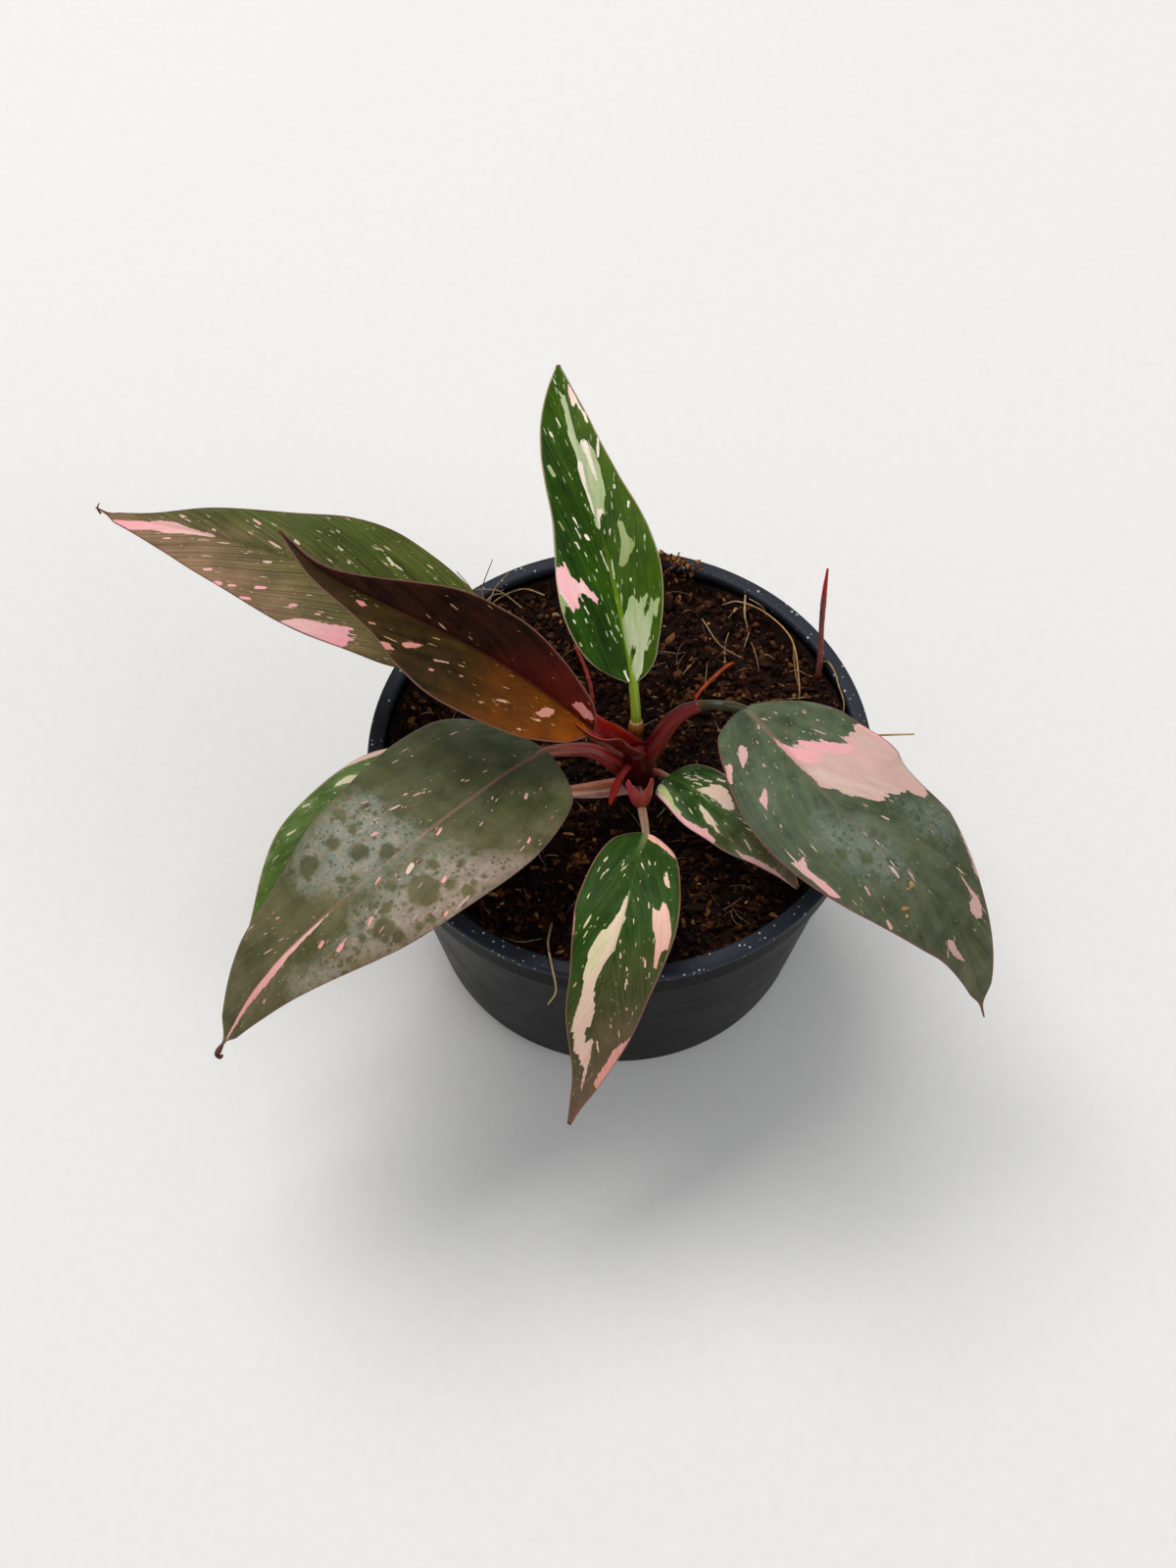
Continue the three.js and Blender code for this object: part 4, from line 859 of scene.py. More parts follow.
def lay_flecks(add, vein, grain, chance):
    """Where flecks show, in cells of three sizes that lie along the veins, and a random tint for each."""
    flecks = None
    for wide, long, small, large in ((1.4, 0.4, 0.06, 0.28), (0.66, 0.2, 0.04, 0.26), (1.5, 1.2, 0.04, 0.22)):
        at = add("VectorMath", vein, (wide, long, 0.0), (0.0, wide * 9, 0.0), operation="MULTIPLY_ADD")
        cells = add("TexVoronoi", at, voronoi_dimensions="2D", into={"Scale": 1.0})
        kind = add("SeparateColor", cells.node.outputs["Color"], out="Red")
        size = add("MapRange", kind.node.outputs["Green"], 0.0, 1.0, small, large)
        wobble = add("Math", grain, 0.24, cells, operation="MULTIPLY_ADD")
        spot = add("MapRange", add("Math", wobble, size, operation="SUBTRACT"), 0.15, 0.09, 0.0, 1.0)
        kept = add("Math", spot, add("Math", kind, chance, operation="LESS_THAN"), operation="MULTIPLY")
        flecks = kept if flecks is None else add("Math", flecks, kept, operation="MAXIMUM")
    return flecks, kind.node.outputs["Blue"]


def water_film(add, tone, place, across, cloud, pale):
    """The silver film of dried hard water, with a veil all over that is partly a painted sheen: how thickly it lies,
    clear where drops stood, and its colour.
    """
    bloom, drops = (add("Attribute", out="Fac", attribute_name=name) for name in ("bloom", "drops"))
    lace = add("TexNoise", place, into={"Scale": 0.22, "Detail": 6.0, "Roughness": 0.7})
    froth = add("TexNoise", place, into={"Scale": 1.1, "Detail": 5.0, "Roughness": 0.75})
    wobble = add("TexNoise", place, into={"Scale": 0.45, "Detail": 4.0, "Roughness": 0.6})
    film = add("MapRange", add("Math", lace, 20.0, bloom, operation="MULTIPLY_ADD"), 13.5, 6.0, 0.0, 1.0)
    for scale, width in ((0.42, 0.34), (0.85, 0.4)):  # small clear spots, about 2 and 1 mm
        cells = add("TexVoronoi", place, voronoi_dimensions="2D", into={"Scale": scale})
        kind = add("SeparateColor", cells.node.outputs["Color"], out="Red")
        limit = add("MapRange", kind, 0.45, 1.0, -0.1, width)
        ring = add("Math", wobble, 0.5, add("Math", cells, limit, operation="SUBTRACT"), operation="MULTIPLY_ADD")
        film = add("Math", film, add("MapRange", ring, 0.14, 0.32, 0.3, 1.0), operation="MULTIPLY")
    ring = add("Math", wobble, 2.6, drops, operation="MULTIPLY_ADD")
    film = add("Math", film, add("MapRange", ring, 0.7, 1.8, 0.16, 1.0), operation="MULTIPLY")
    patchy = add("MapRange", add("Math", lace, froth, operation="ADD"), 0.8, 1.2, 0.45, 1.0)
    film = add("Math", film, add("Math", patchy, tone["film"], operation="MULTIPLY"), operation="MULTIPLY")
    # the veil over the whole blade: a thin film and partly a painted sheen, in the haze colours
    veil = add("MapRange", cloud, 0.3, 0.7, 0.2 * tone["veil"], tone["veil"])
    film = add("Math", film, veil, operation="MAXIMUM")
    film = add("Math", film, add("MapRange", pale, 0.0, 1.0, 1.0, 0.35), operation="MULTIPLY")
    haze = add("Mix", add("MapRange", wobble, 0.4, 0.6, 0.0, 1.0), *tone["haze"], data_type="RGBA")
    if "blush" in tone:
        haze = add("Mix", add("MapRange", across, 5.0, 18.0, 0.0, 0.75), haze, tone["blush"], data_type="RGBA")
    return film, haze


def leaf_skin(node, under=False):
    """Living leaf: waxy skin over green cells that lie in streaks along the veins. It is satin, with
    crisp pale patches that end in teeth along the veins, fine flecks and a thin coloured margin."""
    tone = TONES[node]
    material, add = new_material(f"{node}_{'underside' if under else 'upper_skin'}")
    vein, place = (add("Attribute", out="Vector", attribute_name=name) for name in ("vein", "place"))
    patch, tint, rim, warm, share = (add("Attribute", out="Fac", attribute_name=name)
                                     for name in ("patch", "tint", "rim", "warm", "share"))
    across = add("SeparateXYZ", place, out="Y")

    def veined(across_them, along_them, detail=3.0):
        """Noise drawn out along the veins, with its grain per mm across them and along them."""
        at = add("VectorMath", vein, (across_them, along_them, 1.0), operation="MULTIPLY")
        return add("TexNoise", at, into={"Scale": 1.0, "Detail": detail, "Roughness": 0.6})

    streak, lines, band = veined(1.5, 0.14, 4.0), veined(1.9, 0.03), veined(0.24, 0.05, 2.0)
    cloud = add("TexNoise", place, into={"Scale": 0.12, "Detail": 3.0})
    grain = add("TexNoise", place, into={"Scale": 2.6, "Detail": 3.0, "Roughness": 0.6})

    # the patches: crisp, with teeth about 1 mm wide and half as high again that run along the veins
    ragged = add("Math", veined(1.6, 0.3), 0.9, patch, operation="MULTIPLY_ADD")
    pale = add("MapRange", ragged, 0.5, 0.4, 0.0, 1.0)

    # flecks: thin streaks and dots of 0.2 to 2 mm along the veins, in loose swarms
    swarm = add("MapRange", add("TexNoise", place, into={"Scale": 0.07, "Detail": 2.0}), 0.4, 0.62, 0.3, 1.7)
    chance = add("Math", swarm, tone["flecks"], add("MapRange", patch, 0.0, 5.0, 0.06, 0.0),
                 operation="MULTIPLY_ADD")
    flecks, fleck_tint = lay_flecks(add, vein, grain, chance)
    flecks = add("Math", flecks, add("MapRange", rim, 0.3, 1.0, 0.0, 0.9), operation="MULTIPLY")

    # green tissue: deep and middle tones in streaks, warm towards the tip or a margin; on the newest
    #     # leaf the warm tone is a painted glow of light through the blade
    mottle = add("TexNoise", place, into={"Scale": 0.3, "Detail": 5.0, "Roughness": 0.6})
    laid = add("Mix", tone.get("streaky", 0.85), mottle, streak)
    deep_share = add("MapRange", add("Math", laid, band, operation="ADD"), 0.78, 1.24, 0.0, 1.0)
    heat = add("Math", warm, add("Math", streak, cloud, operation="ADD"), operation="MULTIPLY")
    heat = add("MapRange", heat, 0.1, 0.95, 0.0, 1.0)

    def tissue(deep, mid, warm_color):
        base = add("Mix", deep_share, deep, mid, data_type="RGBA")
        return add("Mix", heat, base, warm_color, data_type="RGBA")

    green = tissue(tone["deep"], tone["mid"], tone["warm"])
    if "right" in tone:  # the half right of the midrib has colours of its own: on the newest leaf painted shade and a painted glow
        green = add("Mix", add("MapRange", across, -0.5, 0.5, 0.0, 1.0), tissue(*tone["right"]), green,
                    data_type="RGBA")
    halo_edge = add("Math", band, 10.0, patch, operation="MULTIPLY_ADD")
    halo = add("MapRange", halo_edge, 7.0, 4.0, 0.0, tone["halo"])
    green = add("Mix", halo, green, tone.get("halo_color", tone["mid"]), data_type="RGBA")
    thread = tone.get("lines", 0.08)
    bright = add("Math", add("MapRange", cloud, 0.3, 0.7, 0.85, 1.15),
                 add("MapRange", lines, 0.35, 0.65, 1 - thread, 1 + thread), operation="MULTIPLY")
    bright = add("Math", bright, add("MapRange", grain, 0.35, 0.65, 0.9, 1.12), operation="MULTIPLY")

    # patches and flecks: pale green, cream or pink, faintly streaked
    stops = [*tone.get("stops", ((0.0, "#8f9c56"), (0.3, "#b3ba86"), (0.5, "#cdc4a4"), (0.75, "#d6aea6"))),
             (1.0, tone.get("pink", "#dc9ea2"))]
    tint_now = add("Math", band, 0.9, tint, operation="MULTIPLY_ADD")
    patch_color = add("ValToRGB", add("MapRange", tint_now, -0.55, 1.45, 0.0, 1.0), stops=stops)
    fleck_at = add("MapRange", fleck_tint, 0.0, 1.0, *tone["fleck_tints"])
    fleck_color = add("ValToRGB", fleck_at, stops=stops)
    dull = add("MapRange", add("Math", streak, grain, operation="ADD"), 0.8, 1.2, 0.88, 1.05)
    color = add("Mix", 1.0, green, add("CombineColor", bright, bright, bright), data_type="RGBA",
                blend_type="MULTIPLY")
    color = add("Mix", flecks, color, fleck_color, data_type="RGBA")
    patch_color = add("Mix", 1.0, patch_color, add("CombineColor", dull, dull, dull), data_type="RGBA",
                      blend_type="MULTIPLY")
    color = add("Mix", pale, color, patch_color, data_type="RGBA")

    # midrib and the thin line along the margin
    off = add("Math", across, operation="ABSOLUTE")
    rib_near = add("Math", off, add("MapRange", share, 0.0, 1.0, tone.get("rib_width", 1.15), 0.3),
                   operation="DIVIDE")
    rib_share = add("MapRange", rib_near, 1.0, 0.35, 0.0,
                    add("MapRange", share, *tone.get("rib_fade", (0.1, 0.9)), 0.85, 0.0))
    rib_share = add("Math", rib_share, add("MapRange", pale, 0.0, 1.0, 1.0, 0.3), operation="MULTIPLY")
    color = add("Mix", rib_share, color, tone["rib"], data_type="RGBA")
    margin = add("MapRange", add("Math", cloud, 0.6, rim, operation="MULTIPLY_ADD"), 0.75, 0.4, 0.0, 0.8)
    color = add("Mix", margin, color, tone["margin"], data_type="RGBA")

    roughness = add("MapRange", grain, 0.3, 0.7, 0.4, 0.54)
    if node in BLOOMS and not under:
        film, haze = water_film(add, tone, place, across, cloud, pale)
        color = add("Mix", film, color, haze, data_type="RGBA")
        roughness = add("Math", film, 0.3, roughness, operation="MULTIPLY_ADD")
    if under:  # red pigment in the lower cells shows as bronze
        color = add("Mix", 0.5, color, tone.get("under", "#5c3020"), data_type="RGBA")
    tip = add("MapRange", share, tone.get("dry", 0.985), tone.get("dry", 0.985) + 0.012, 0.0, 1.0)
    color = add("Mix", tip, color, tone.get("dry_color", "#4a2c1c"), data_type="RGBA")

    height = add("Math", grain, 0.25, veined(1.15, 0.1, 2.0), operation="MULTIPLY_ADD")
    finish_material(add, color, roughness, height, tone.get("relief", 0.12), Specular_IOR_Level=tone.get("gloss", 0.2),
                    IOR=1.36, Subsurface_Weight=0.05, Subsurface_Radius=(0.0012, 0.0008, 0.0004), Subsurface_Scale=1.0)
    return material


# The stalks' colours along their way from the stem to the blade, at shares of their length.
STALKS = {
    "leaf_back": [(0, "#5a2a14"), (0.45, "#748420"), (0.7, "#70841a"), (1, "#748a20")],
    "leaf_back_sheath": [(0, "#5c1c10"), (0.3, "#6a3a10"), (0.7, "#744416"), (0.88, "#86582c"), (1, "#b08e70")],
    "leaf_left_back": [(0, "#5a1612"), (0.25, "#6a3424"), (0.5, "#5c5c30"), (1, "#5a6434")],
    "leaf_newest": [(0, "#6a0f0c"), (0.5, "#74160f"), (1, "#7c2010")],
    "leaf_left_front": [(0, "#3c0808"), (0.3, "#7c221e"), (0.55, "#8c3e36"), (0.8, "#7a4c3c"), (1, "#685840")],
    "leaf_left_under": [(0, "#a04038"), (0.3, "#b06c60"), (0.6, "#b08c70"), (1, "#8c7c4c")],
    "leaf_front": [(0, "#8c4034"), (0.3, "#865440"), (0.6, "#8a6650"), (1, "#94806a")],
    "leaf_right_small": [(0, "#7c201c"), (0.4, "#9a4a40"), (1, "#8a8454")],
    "leaf_right": [(0, "#3c1410"), (0.58, "#4c3420"), (0.65, "#2e2a18"), (0.8, "#33311d"), (1, "#4c4630")],
    "leaf_right_sheath": [(0, "#2c0203"), (0.3, "#420505"), (0.7, "#560c0a"), (1, "#4e0e0c")],
    "stem": [(0, "#2a1610"), (0.4, "#300a08"), (0.7, "#3c0506"), (1, "#480807")],
    "scale_cup": [(0, "#8c4430"), (0.35, "#983c30"), (0.7, "#a83c3c"), (1, "#c04c58")],
    "scale_spike": [(0, "#700e0c"), (0.5, "#941a10"), (1, "#a42414")],
}
# Stalks whose sides differ: colours across them, from the right edge to the left one, and how
# strongly they show; on the newest leaf's channel and the right leaf's sheath they are partly painted
# shade and highlight. For the channel it goes from the right edge down outside, up to the left
# edge and back inside.
BANDS = {
    "leaf_front": (0.6, [(0, "#a08a78"), (0.3, "#8c6c54"), (0.5, "#5c3a24"), (0.7, "#947462"), (1, "#a8907e")]),
    # newest leaf's channel: darkest down its outside towards the keel, painted shade
    "leaf_newest": (0.85, [(0, "#a32418"), (0.08, "#6e1812"), (0.3, "#3e100d"), (0.46, "#48160f"), (0.5, "#963026"),
                           (0.58, "#8a1a14"), (0.8, "#74100e"), (0.97, "#a4261c"), (1, "#b43022")]),
    "leaf_left_under": (0.75, [(0, "#a8604e"), (0.25, "#b47464"), (0.4, "#84491e"), (0.6, "#8c5a2a"), (0.75, "#cf9c8e"),
                               (1, "#c89084")]),
    # right leaf's sheath: lighter along its right side, a painted highlight, and near black down its left, painted
    # shade
    "leaf_right_sheath": (0.55, [(0, "#842a22"), (0.25, "#64120f"), (0.55, "#280202"), (1, "#1c0202")]),
    "scale_cup": (0.6, [(0, "#c83858"), (0.2, "#d0486a"), (0.34, "#84321f"), (0.66, "#8c3c22"), (0.82, "#c04a4c"),
                        (1, "#a02630")]),
}
STRIPED = {"leaf_left_front": 0.55, "leaf_left_under": 0.4, "scale_cup": 0.35, "leaf_right_sheath": 0.35}


def stalk_skin(name):
    """Living leaf stalk: smooth, turgid and waxy, glossier than the blade, with fine lengthwise streaks."""
    material, add = new_material(f"{name}_skin")
    place = add("Attribute", out="Vector", attribute_name="place")
    share = add("Attribute", out="Fac", attribute_name="share")
    lines_at = add("VectorMath", place, (0.1, 2.6, 1.0), operation="MULTIPLY")
    lines = add("TexNoise", lines_at, into={"Scale": 1.0, "Detail": 4.0, "Roughness": 0.65})
    mottle = add("TexNoise", place, into={"Scale": 0.5, "Detail": 3.0})
    moved = add("Math", mottle, 0.08, share, operation="MULTIPLY_ADD")
    color = add("ValToRGB", add("MapRange", moved, 0.04, 1.04, 0.0, 1.0), stops=STALKS[name])
    if name in BANDS:
        weight, stops = BANDS[name]
        side = add("Attribute", out="Fac", attribute_name="warm")
        color = add("Mix", weight, color, add("ValToRGB", side, stops=stops), data_type="RGBA")
    contrast = STRIPED.get(name, 0.2)
    shade = add("MapRange", lines, 0.35, 0.65, 1 - contrast, 1 + contrast)
    color = add("Mix", 1.0, color, add("CombineColor", shade, shade, shade), data_type="RGBA",
                blend_type="MULTIPLY")
    roughness = add("MapRange", mottle, 0.3, 0.7, 0.22, 0.36)
    finish_material(add, color, roughness, lines, 0.12, Specular_IOR_Level=0.24, Subsurface_Weight=0.06,
                    Subsurface_Radius=(0.0015, 0.0007, 0.0004), Subsurface_Scale=1.0)
    return material


# ---------------------------------------------------------------- stem, scales and roots

STEM_AT = (4, -9)
STEM_OUTLINE = [(48, 3.4), (62, 4.1), (72, 4.3), (75, 4.6), (77, 4.1), (82, 4.4), (84, 3.9), (88, 3.9), (91, 3.2),
                (93, 2.2)]  # (height, radius)
STEM_TIP = [(93.6, 1.2), (93.8, 0.4)]  # (height, radius) of the dome over it


def grow_stem():
    """The short stem with its ringed leaf scars and a domed tip."""
    heights, radii = np.array(STEM_OUTLINE).T
    z = np.linspace(heights[0], heights[-1], 90)
    r = np.interp(z, heights, radii)
    r = np.convolve(np.pad(r, 3, mode="edge"), np.ones(7) / 7, mode="valid")
    z, r = np.vstack([np.column_stack([z, r]), STEM_TIP]).T
    sides = 48
    turn = np.linspace(0, 2 * np.pi, sides, endpoint=False)
    rings = [circle(radius * (1 + 0.03 * np.cos(3 * turn + 0.12 * height) + 0.015 * np.sin(7 * turn + 0.3 * height)),
                    turn, height, STEM_AT) for height, radius in zip(z, r)]
    points = np.vstack([*rings, [[*STEM_AT, z[0]], [*STEM_AT, z[-1] + 0.1]]])
    way = np.r_[np.repeat(z, sides), z[0], z[-1]]
    turns = np.r_[np.tile(turn, len(z)), 0, 0]
    fields = dict(share=(way - 60) / 34, place=np.column_stack([way, turns * 2, np.full(len(way), 9.0)]))
    grown = piece("stem_grown", points, capped_faces(len(z), sides), [stalk_skin("stem")], None, fields)
    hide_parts("stem")


# The cup opens along its axis; it goes span degrees round either way, and its free edge is cut
# back by shares of its height: by the cleft in the middle and towards the heel at both ends.
CUP = dict(axis=[(5, -21.2, 86.2), (4.8, -19.4, 87.6), (4.6, -17.4, 89.4), (4.4, -15.5, 91.4)],
           inner=[1.2, 2.3, 2.75, 3.0], span=125, cleft=0.5, lobe=0.42, heel=0.4, wall=0.5)


def grow_cup_scale():
    """The cupped scale leaf round the front leaf's stalk, cleft in front, its lobes thin at the edge."""
    levels, steps = 30, 72
    rings, turns = [], np.linspace(-1, 1, steps)
    for turn in turns:
        past = (abs(turn) - CUP["lobe"]) / (1 - CUP["lobe"])
        reach = 1 - CUP["cleft"] * max(0, 1 - abs(turn) / CUP["lobe"]) - CUP["heel"] * max(0, past)
        reach += 0.015 * math.sin(23 * turn) + 0.01 * math.sin(51 * turn + 1)
        share = reach * np.linspace(0, 1, levels)
        centre = through(CUP["axis"], share)
        _, side, normal = frames_along(through(CUP["axis"], np.linspace(0, 1, 60)))
        pick = np.minimum((share * 59).round().astype(int), 59)
        angle = math.radians(CUP["span"] * turn)
        ring = []
        for wall in (0, 1):
            thick = wall * CUP["wall"] * (1 - 0.6 * np.linspace(0, 1, levels) ** 2)
            foot = 0.35 * (1 - np.clip(share / 0.12, 0, 1)) ** 2  # the heel rounds in on the stalk
            r = (profile(CUP["inner"], share) + thick * (1 - foot) - foot * 0.3)[:, None]
            flare = (0.5 * (share / max(reach, 0.1)) ** 4)[:, None]  # the lips roll outwards
            skin = centre + (normal[pick] * math.cos(angle) - side[pick] * math.sin(angle)) * (r + flare)
            ring += skin[::-1].tolist() if wall else skin.tolist()
        rings.append(ring)
    points = np.array(rings).reshape(-1, 3)
    count = 2 * levels
    faces = grid_faces(steps, count, closed=True, flip=True).tolist() + end_strips(steps, count)
    up = np.linspace(0, 1, levels)
    rise, across = np.tile(np.r_[up, up[::-1]], steps), np.repeat(turns, count)
    fields = dict(share=rise, warm=(across + 1) / 2, place=np.column_stack([rise * 9, across * 7, rise * 0 + 4]))
    grown = piece("scale_cup_grown", points, faces, [stalk_skin("scale_cup")], None, fields)
    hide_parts("scale_cup")


def grow_spike_scale():
    """The small red scale left of the cup: a flat tongue that ends in a point."""
    path = [(2.2, -11.6, 90.4), (0.3, -14, 90.2), (-1.5, -16.8, 88), (-2.9, -19.9, 84.8)]
    points, faces, way, turn = tube(path, [0.9, 1, 1, 0.4], sides=24, rings=60, flat=0.6, blunt=0.5)
    fields = dict(share=way / way.max(), place=np.column_stack([way, turn, way * 0 + 6]))
    grown = piece("scale_spike_grown", points, faces, [stalk_skin("scale_spike")], None, fields)
    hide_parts("scale_spike")


# Each root has its run, its girth along it and its colours: the skin, where soil clings, the tip.
ROOTS = {
    "root_shoot": ([(53, 25.5, 66), (52.9, 28, 76), (52.4, 31, 88), (52, 32.4, 100), (52, 33.6, 111)],
                   [0.85, 0.8, 0.7, 0.72, 0.3], "#9c544c", "#7c3a32", "#c4281e"),
    "root_right": ([(19, 18, 69), (20.5, 21, 72.4), (25.2, 26.2, 73.4), (29.2, 30.4, 72.8), (31.5, 33.5, 69)],
                   [0.55, 0.5, 0.5, 0.45, 0.35], "#b8481c", "#803016", "#b04a20"),
    "root_left": ([(-7, 18, 69), (-7.2, 21, 72.2), (-8.6, 27.5, 73.4), (-11, 35, 72.4), (-12.4, 40, 69)],
                  [0.5, 0.55, 0.5, 0.45, 0.35], "#a83420", "#5c1e14", "#a83420"),
    "root_back": ([(47.5, 20, 70), (47.4, 24.5, 74), (46, 36.5, 75.5), (39.6, 44.8, 76), (32.4, 49, 75.6),
                   (28, 50.5, 72)], [0.18, 0.2, 0.22, 0.2, 0.18, 0.15], "#e0ac6c", "#a87444", "#dcb07c"),
    "root_over_front": ([(-17, -44, 69), (-17.5, -48, 73), (-18, -56, 79.5), (-17, -62.5, 80.6), (-16, -67.5, 77.5),
                         (-18, -69, 73)], [0.3, 0.3, 0.28, 0.26, 0.24, 0.2], "#c8a87c", "#8c6c44", "#c8a87c"),
    "root_over_right": ([(51, 2.4, 69), (54.5, 2.6, 74), (60, 2.6, 79.5), (66, 3, 81), (75.3, 3.4, 81)],
                        [0.35, 0.35, 0.32, 0.28, 0.22], "#b89464", "#7c5834", "#c8a478"),
}


def root_skin(name, color, dark, tip=None):
    """Living root: corky skin with fine hairs and scale, dull, browner where soil clings, the tip young."""
    material, add = new_material(name)
    place = add("Attribute", out="Vector", attribute_name="place")
    patchy = add("TexNoise", place, into={"Scale": 0.6, "Detail": 5.0, "Roughness": 0.7})
    bark = add("TexNoise", add("VectorMath", place, (3.0, 6.0, 1.0), operation="MULTIPLY"),
               into={"Scale": 1.0, "Detail": 4.0})
    mixed = add("Mix", add("MapRange", patchy, 0.4, 0.62, 0.0, 1.0), color, dark, data_type="RGBA")
    if tip:
        share = add("Attribute", out="Fac", attribute_name="share")
        mixed = add("Mix", add("MapRange", share, 0.72, 0.86, 0.0, 0.9), mixed, tip, data_type="RGBA")
    finish_material(add, mixed, 0.7, bark, 0.25, Specular_IOR_Level=0.3)
    return material


def grow_roots():
    """Knobbly tubes along the roots' runs."""
    for seed, (node, (path, girth, *colors)) in enumerate(ROOTS.items()):
        points, faces, way, turn = tube(path, girth, sides=14, rings=60)
        swell = np.array([noise.noise((w / 1.6, t, seed * 5.0)) for w, t in zip(way, turn)])
        centre, _ = along_path(path, way / way.max())
        points = centre + (points - centre) * (1 + 0.22 * swell)[:, None]
        fields = dict(share=way / way.max(), place=np.column_stack([way, turn, way * 0 + seed]))
        grown = piece(f"{node}_grown", points, faces, [root_skin(f"{node}_skin", *colors)], None, fields)
        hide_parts(node)


# ---------------------------------------------------------------- pot

RIM_TOP, RIM_INSIDE, RIM_OUTSIDE = 78, 61, 65
# (radius, height, fillet) round the pot's section, from its underside up the outside and down the inside
POT_SECTION = [
    (0, 0, 0), (52, 0, 1.0), (61.8, 65.6, 0.5), (63.4, 66, 0.6), (63.4, 75.4, 0.35), (RIM_OUTSIDE, 75.4, 0.7),
    (RIM_OUTSIDE, RIM_TOP, 0.9), (RIM_INSIDE, RIM_TOP, 0.9), (RIM_INSIDE, 66, 0.8), (60, 63.8, 0.8),
    (50.4, 3.2, 1.2), (49.4, 2.2, 0.8), (0, 2.2, 0),
]
POT_SPOKES = 168
DRAIN = dict(count=6, circle=38, radius=4)


def filleted(section, steps=5, guard=0.6):
    """The section's outline with its corners rounded, and guard points beside each round."""
    outline = []
    for i, (r, z, fillet) in enumerate(section):
        corner = Vector((r, z))
        if not fillet:
            outline.append(corner)
            continue
        back, on = Vector(section[i - 1][:2]) - corner, Vector(section[i + 1][:2]) - corner
        reach = min(fillet, back.length * 0.45, on.length * 0.45)
        start, end = corner + back.normalized() * reach, corner + on.normalized() * reach
        if back.length > 2 * (reach + guard):
            outline.append(start + back.normalized() * guard)
        for k in range(steps + 1):
            t = k / steps
            outline.append(start * (1 - t) ** 2 + corner * 2 * t * (1 - t) + end * t**2)
        if on.length > 2 * (reach + guard):
            outline.append(end + on.normalized() * guard)
    return outline


def pot_plastic():
    """Injection-moulded polypropylene, black: satin, with a faint cool sheen that is painted onto the lip as a
    lighter, bluish grey, dust in a thin veil, pale scuffs from stacking and dried splashes of mix."""
    material, add = new_material("black_polypropylene")
    place = add("TexCoord", out="Object")
    height = add("SeparateXYZ", place, out="Z")
    moulded = add("TexNoise", place, into={"Scale": 2500.0, "Detail": 2.0})  # 0.4 mm mould grain
    veil = add("TexNoise", place, into={"Scale": 45.0, "Detail": 6.0, "Roughness": 0.7})
    scuff_at = add("VectorMath", place, (60.0, 60.0, 900.0), operation="MULTIPLY")
    scuff = add("TexNoise", scuff_at, into={"Scale": 1.0, "Detail": 5.0, "Roughness": 0.75})
    high = add("MapRange", height, 0.0755, 0.0768, 0.0, 1.0)  # the lip: a painted sheen, lighter and bluish against the wall, and more scratches and specks
    dust = add("MapRange", veil, 0.45, 0.75, 0.0, 0.2)
    # painted sheen: the lip is painted a lighter, bluish grey than the black wall
    color = add("Mix", high, "#050506", "#2a2e36", data_type="RGBA")
    color = add("Mix", dust, color, "#2e2d2c", data_type="RGBA")
    scratched = add("MapRange", scuff, 0.66, 0.72, 0.0, 0.45)
    worn = add("MapRange", high, 0.0, 1.0, 0.035, 0.8)
    color = add("Mix", add("Math", scratched, worn, operation="MULTIPLY"), color, "#7d8084",
                data_type="RGBA")
    specks = add("TexVoronoi", place, into={"Scale": 800.0})
    kind = add("SeparateColor", specks.node.outputs["Color"], out="Red")
    limit = add("MapRange", kind, 0.5, 1.0, 0.0, 0.3)
    speck = add("MapRange", add("Math", specks, limit, operation="SUBTRACT"), 0.03, -0.03, 0.0, worn)
    color = add("Mix", speck, color, "#b4b6b8", data_type="RGBA")
    roughness = add("Math", dust, 0.6, 0.36, operation="MULTIPLY_ADD")
    bump = add("Math", speck, 1.5, moulded, operation="MULTIPLY_ADD")
    finish_material(add, color, roughness, bump, 0.06, Specular_IOR_Level=0.14, IOR=1.3)
    return material


def mould_pot():
    """The pot, turned from its section and drilled in its floor."""
    start, *rings, end = filleted(POT_SECTION)
    turn = np.linspace(0, 2 * np.pi, POT_SPOKES, endpoint=False)
    points = np.vstack([*(circle(spot.x, turn, spot.y) for spot in rings), [(0, 0, start.y), (0, 0, end.y)]])
    pot = piece("pot_moulded", points, capped_faces(len(rings), POT_SPOKES), [pot_plastic()])
    cutters = bmesh.new()
    for k in range(DRAIN["count"]):
        at = math.tau * k / DRAIN["count"]
        place = Matrix.Translation(Vector((math.cos(at), math.sin(at), 0)) * DRAIN["circle"] * MM)
        radius = DRAIN["radius"] * MM
        bmesh.ops.create_cone(cutters, cap_ends=True, segments=32, radius1=radius, radius2=radius, depth=0.02,
                              matrix=place)
    mesh = bpy.data.meshes.new("drain_cutters")
    cutters.to_mesh(mesh)
    cutters.free()
    tool = bpy.data.objects.new("drain_cutters", mesh)
    bpy.context.collection.objects.link(tool)
    drill = pot.modifiers.new("drill", "BOOLEAN")
    drill.operation, drill.object, drill.solver = "DIFFERENCE", tool, "EXACT"
    bpy.context.view_layer.update()
    drilled = bpy.data.meshes.new_from_object(pot.evaluated_get(bpy.context.evaluated_depsgraph_get()))
    pot.modifiers.clear()
    pot.data = drilled
    bpy.data.objects.remove(tool)
    drilled.polygons.foreach_set("use_smooth", np.full(len(drilled.polygons), True))
    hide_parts("pot")


# ---------------------------------------------------------------- potting mix

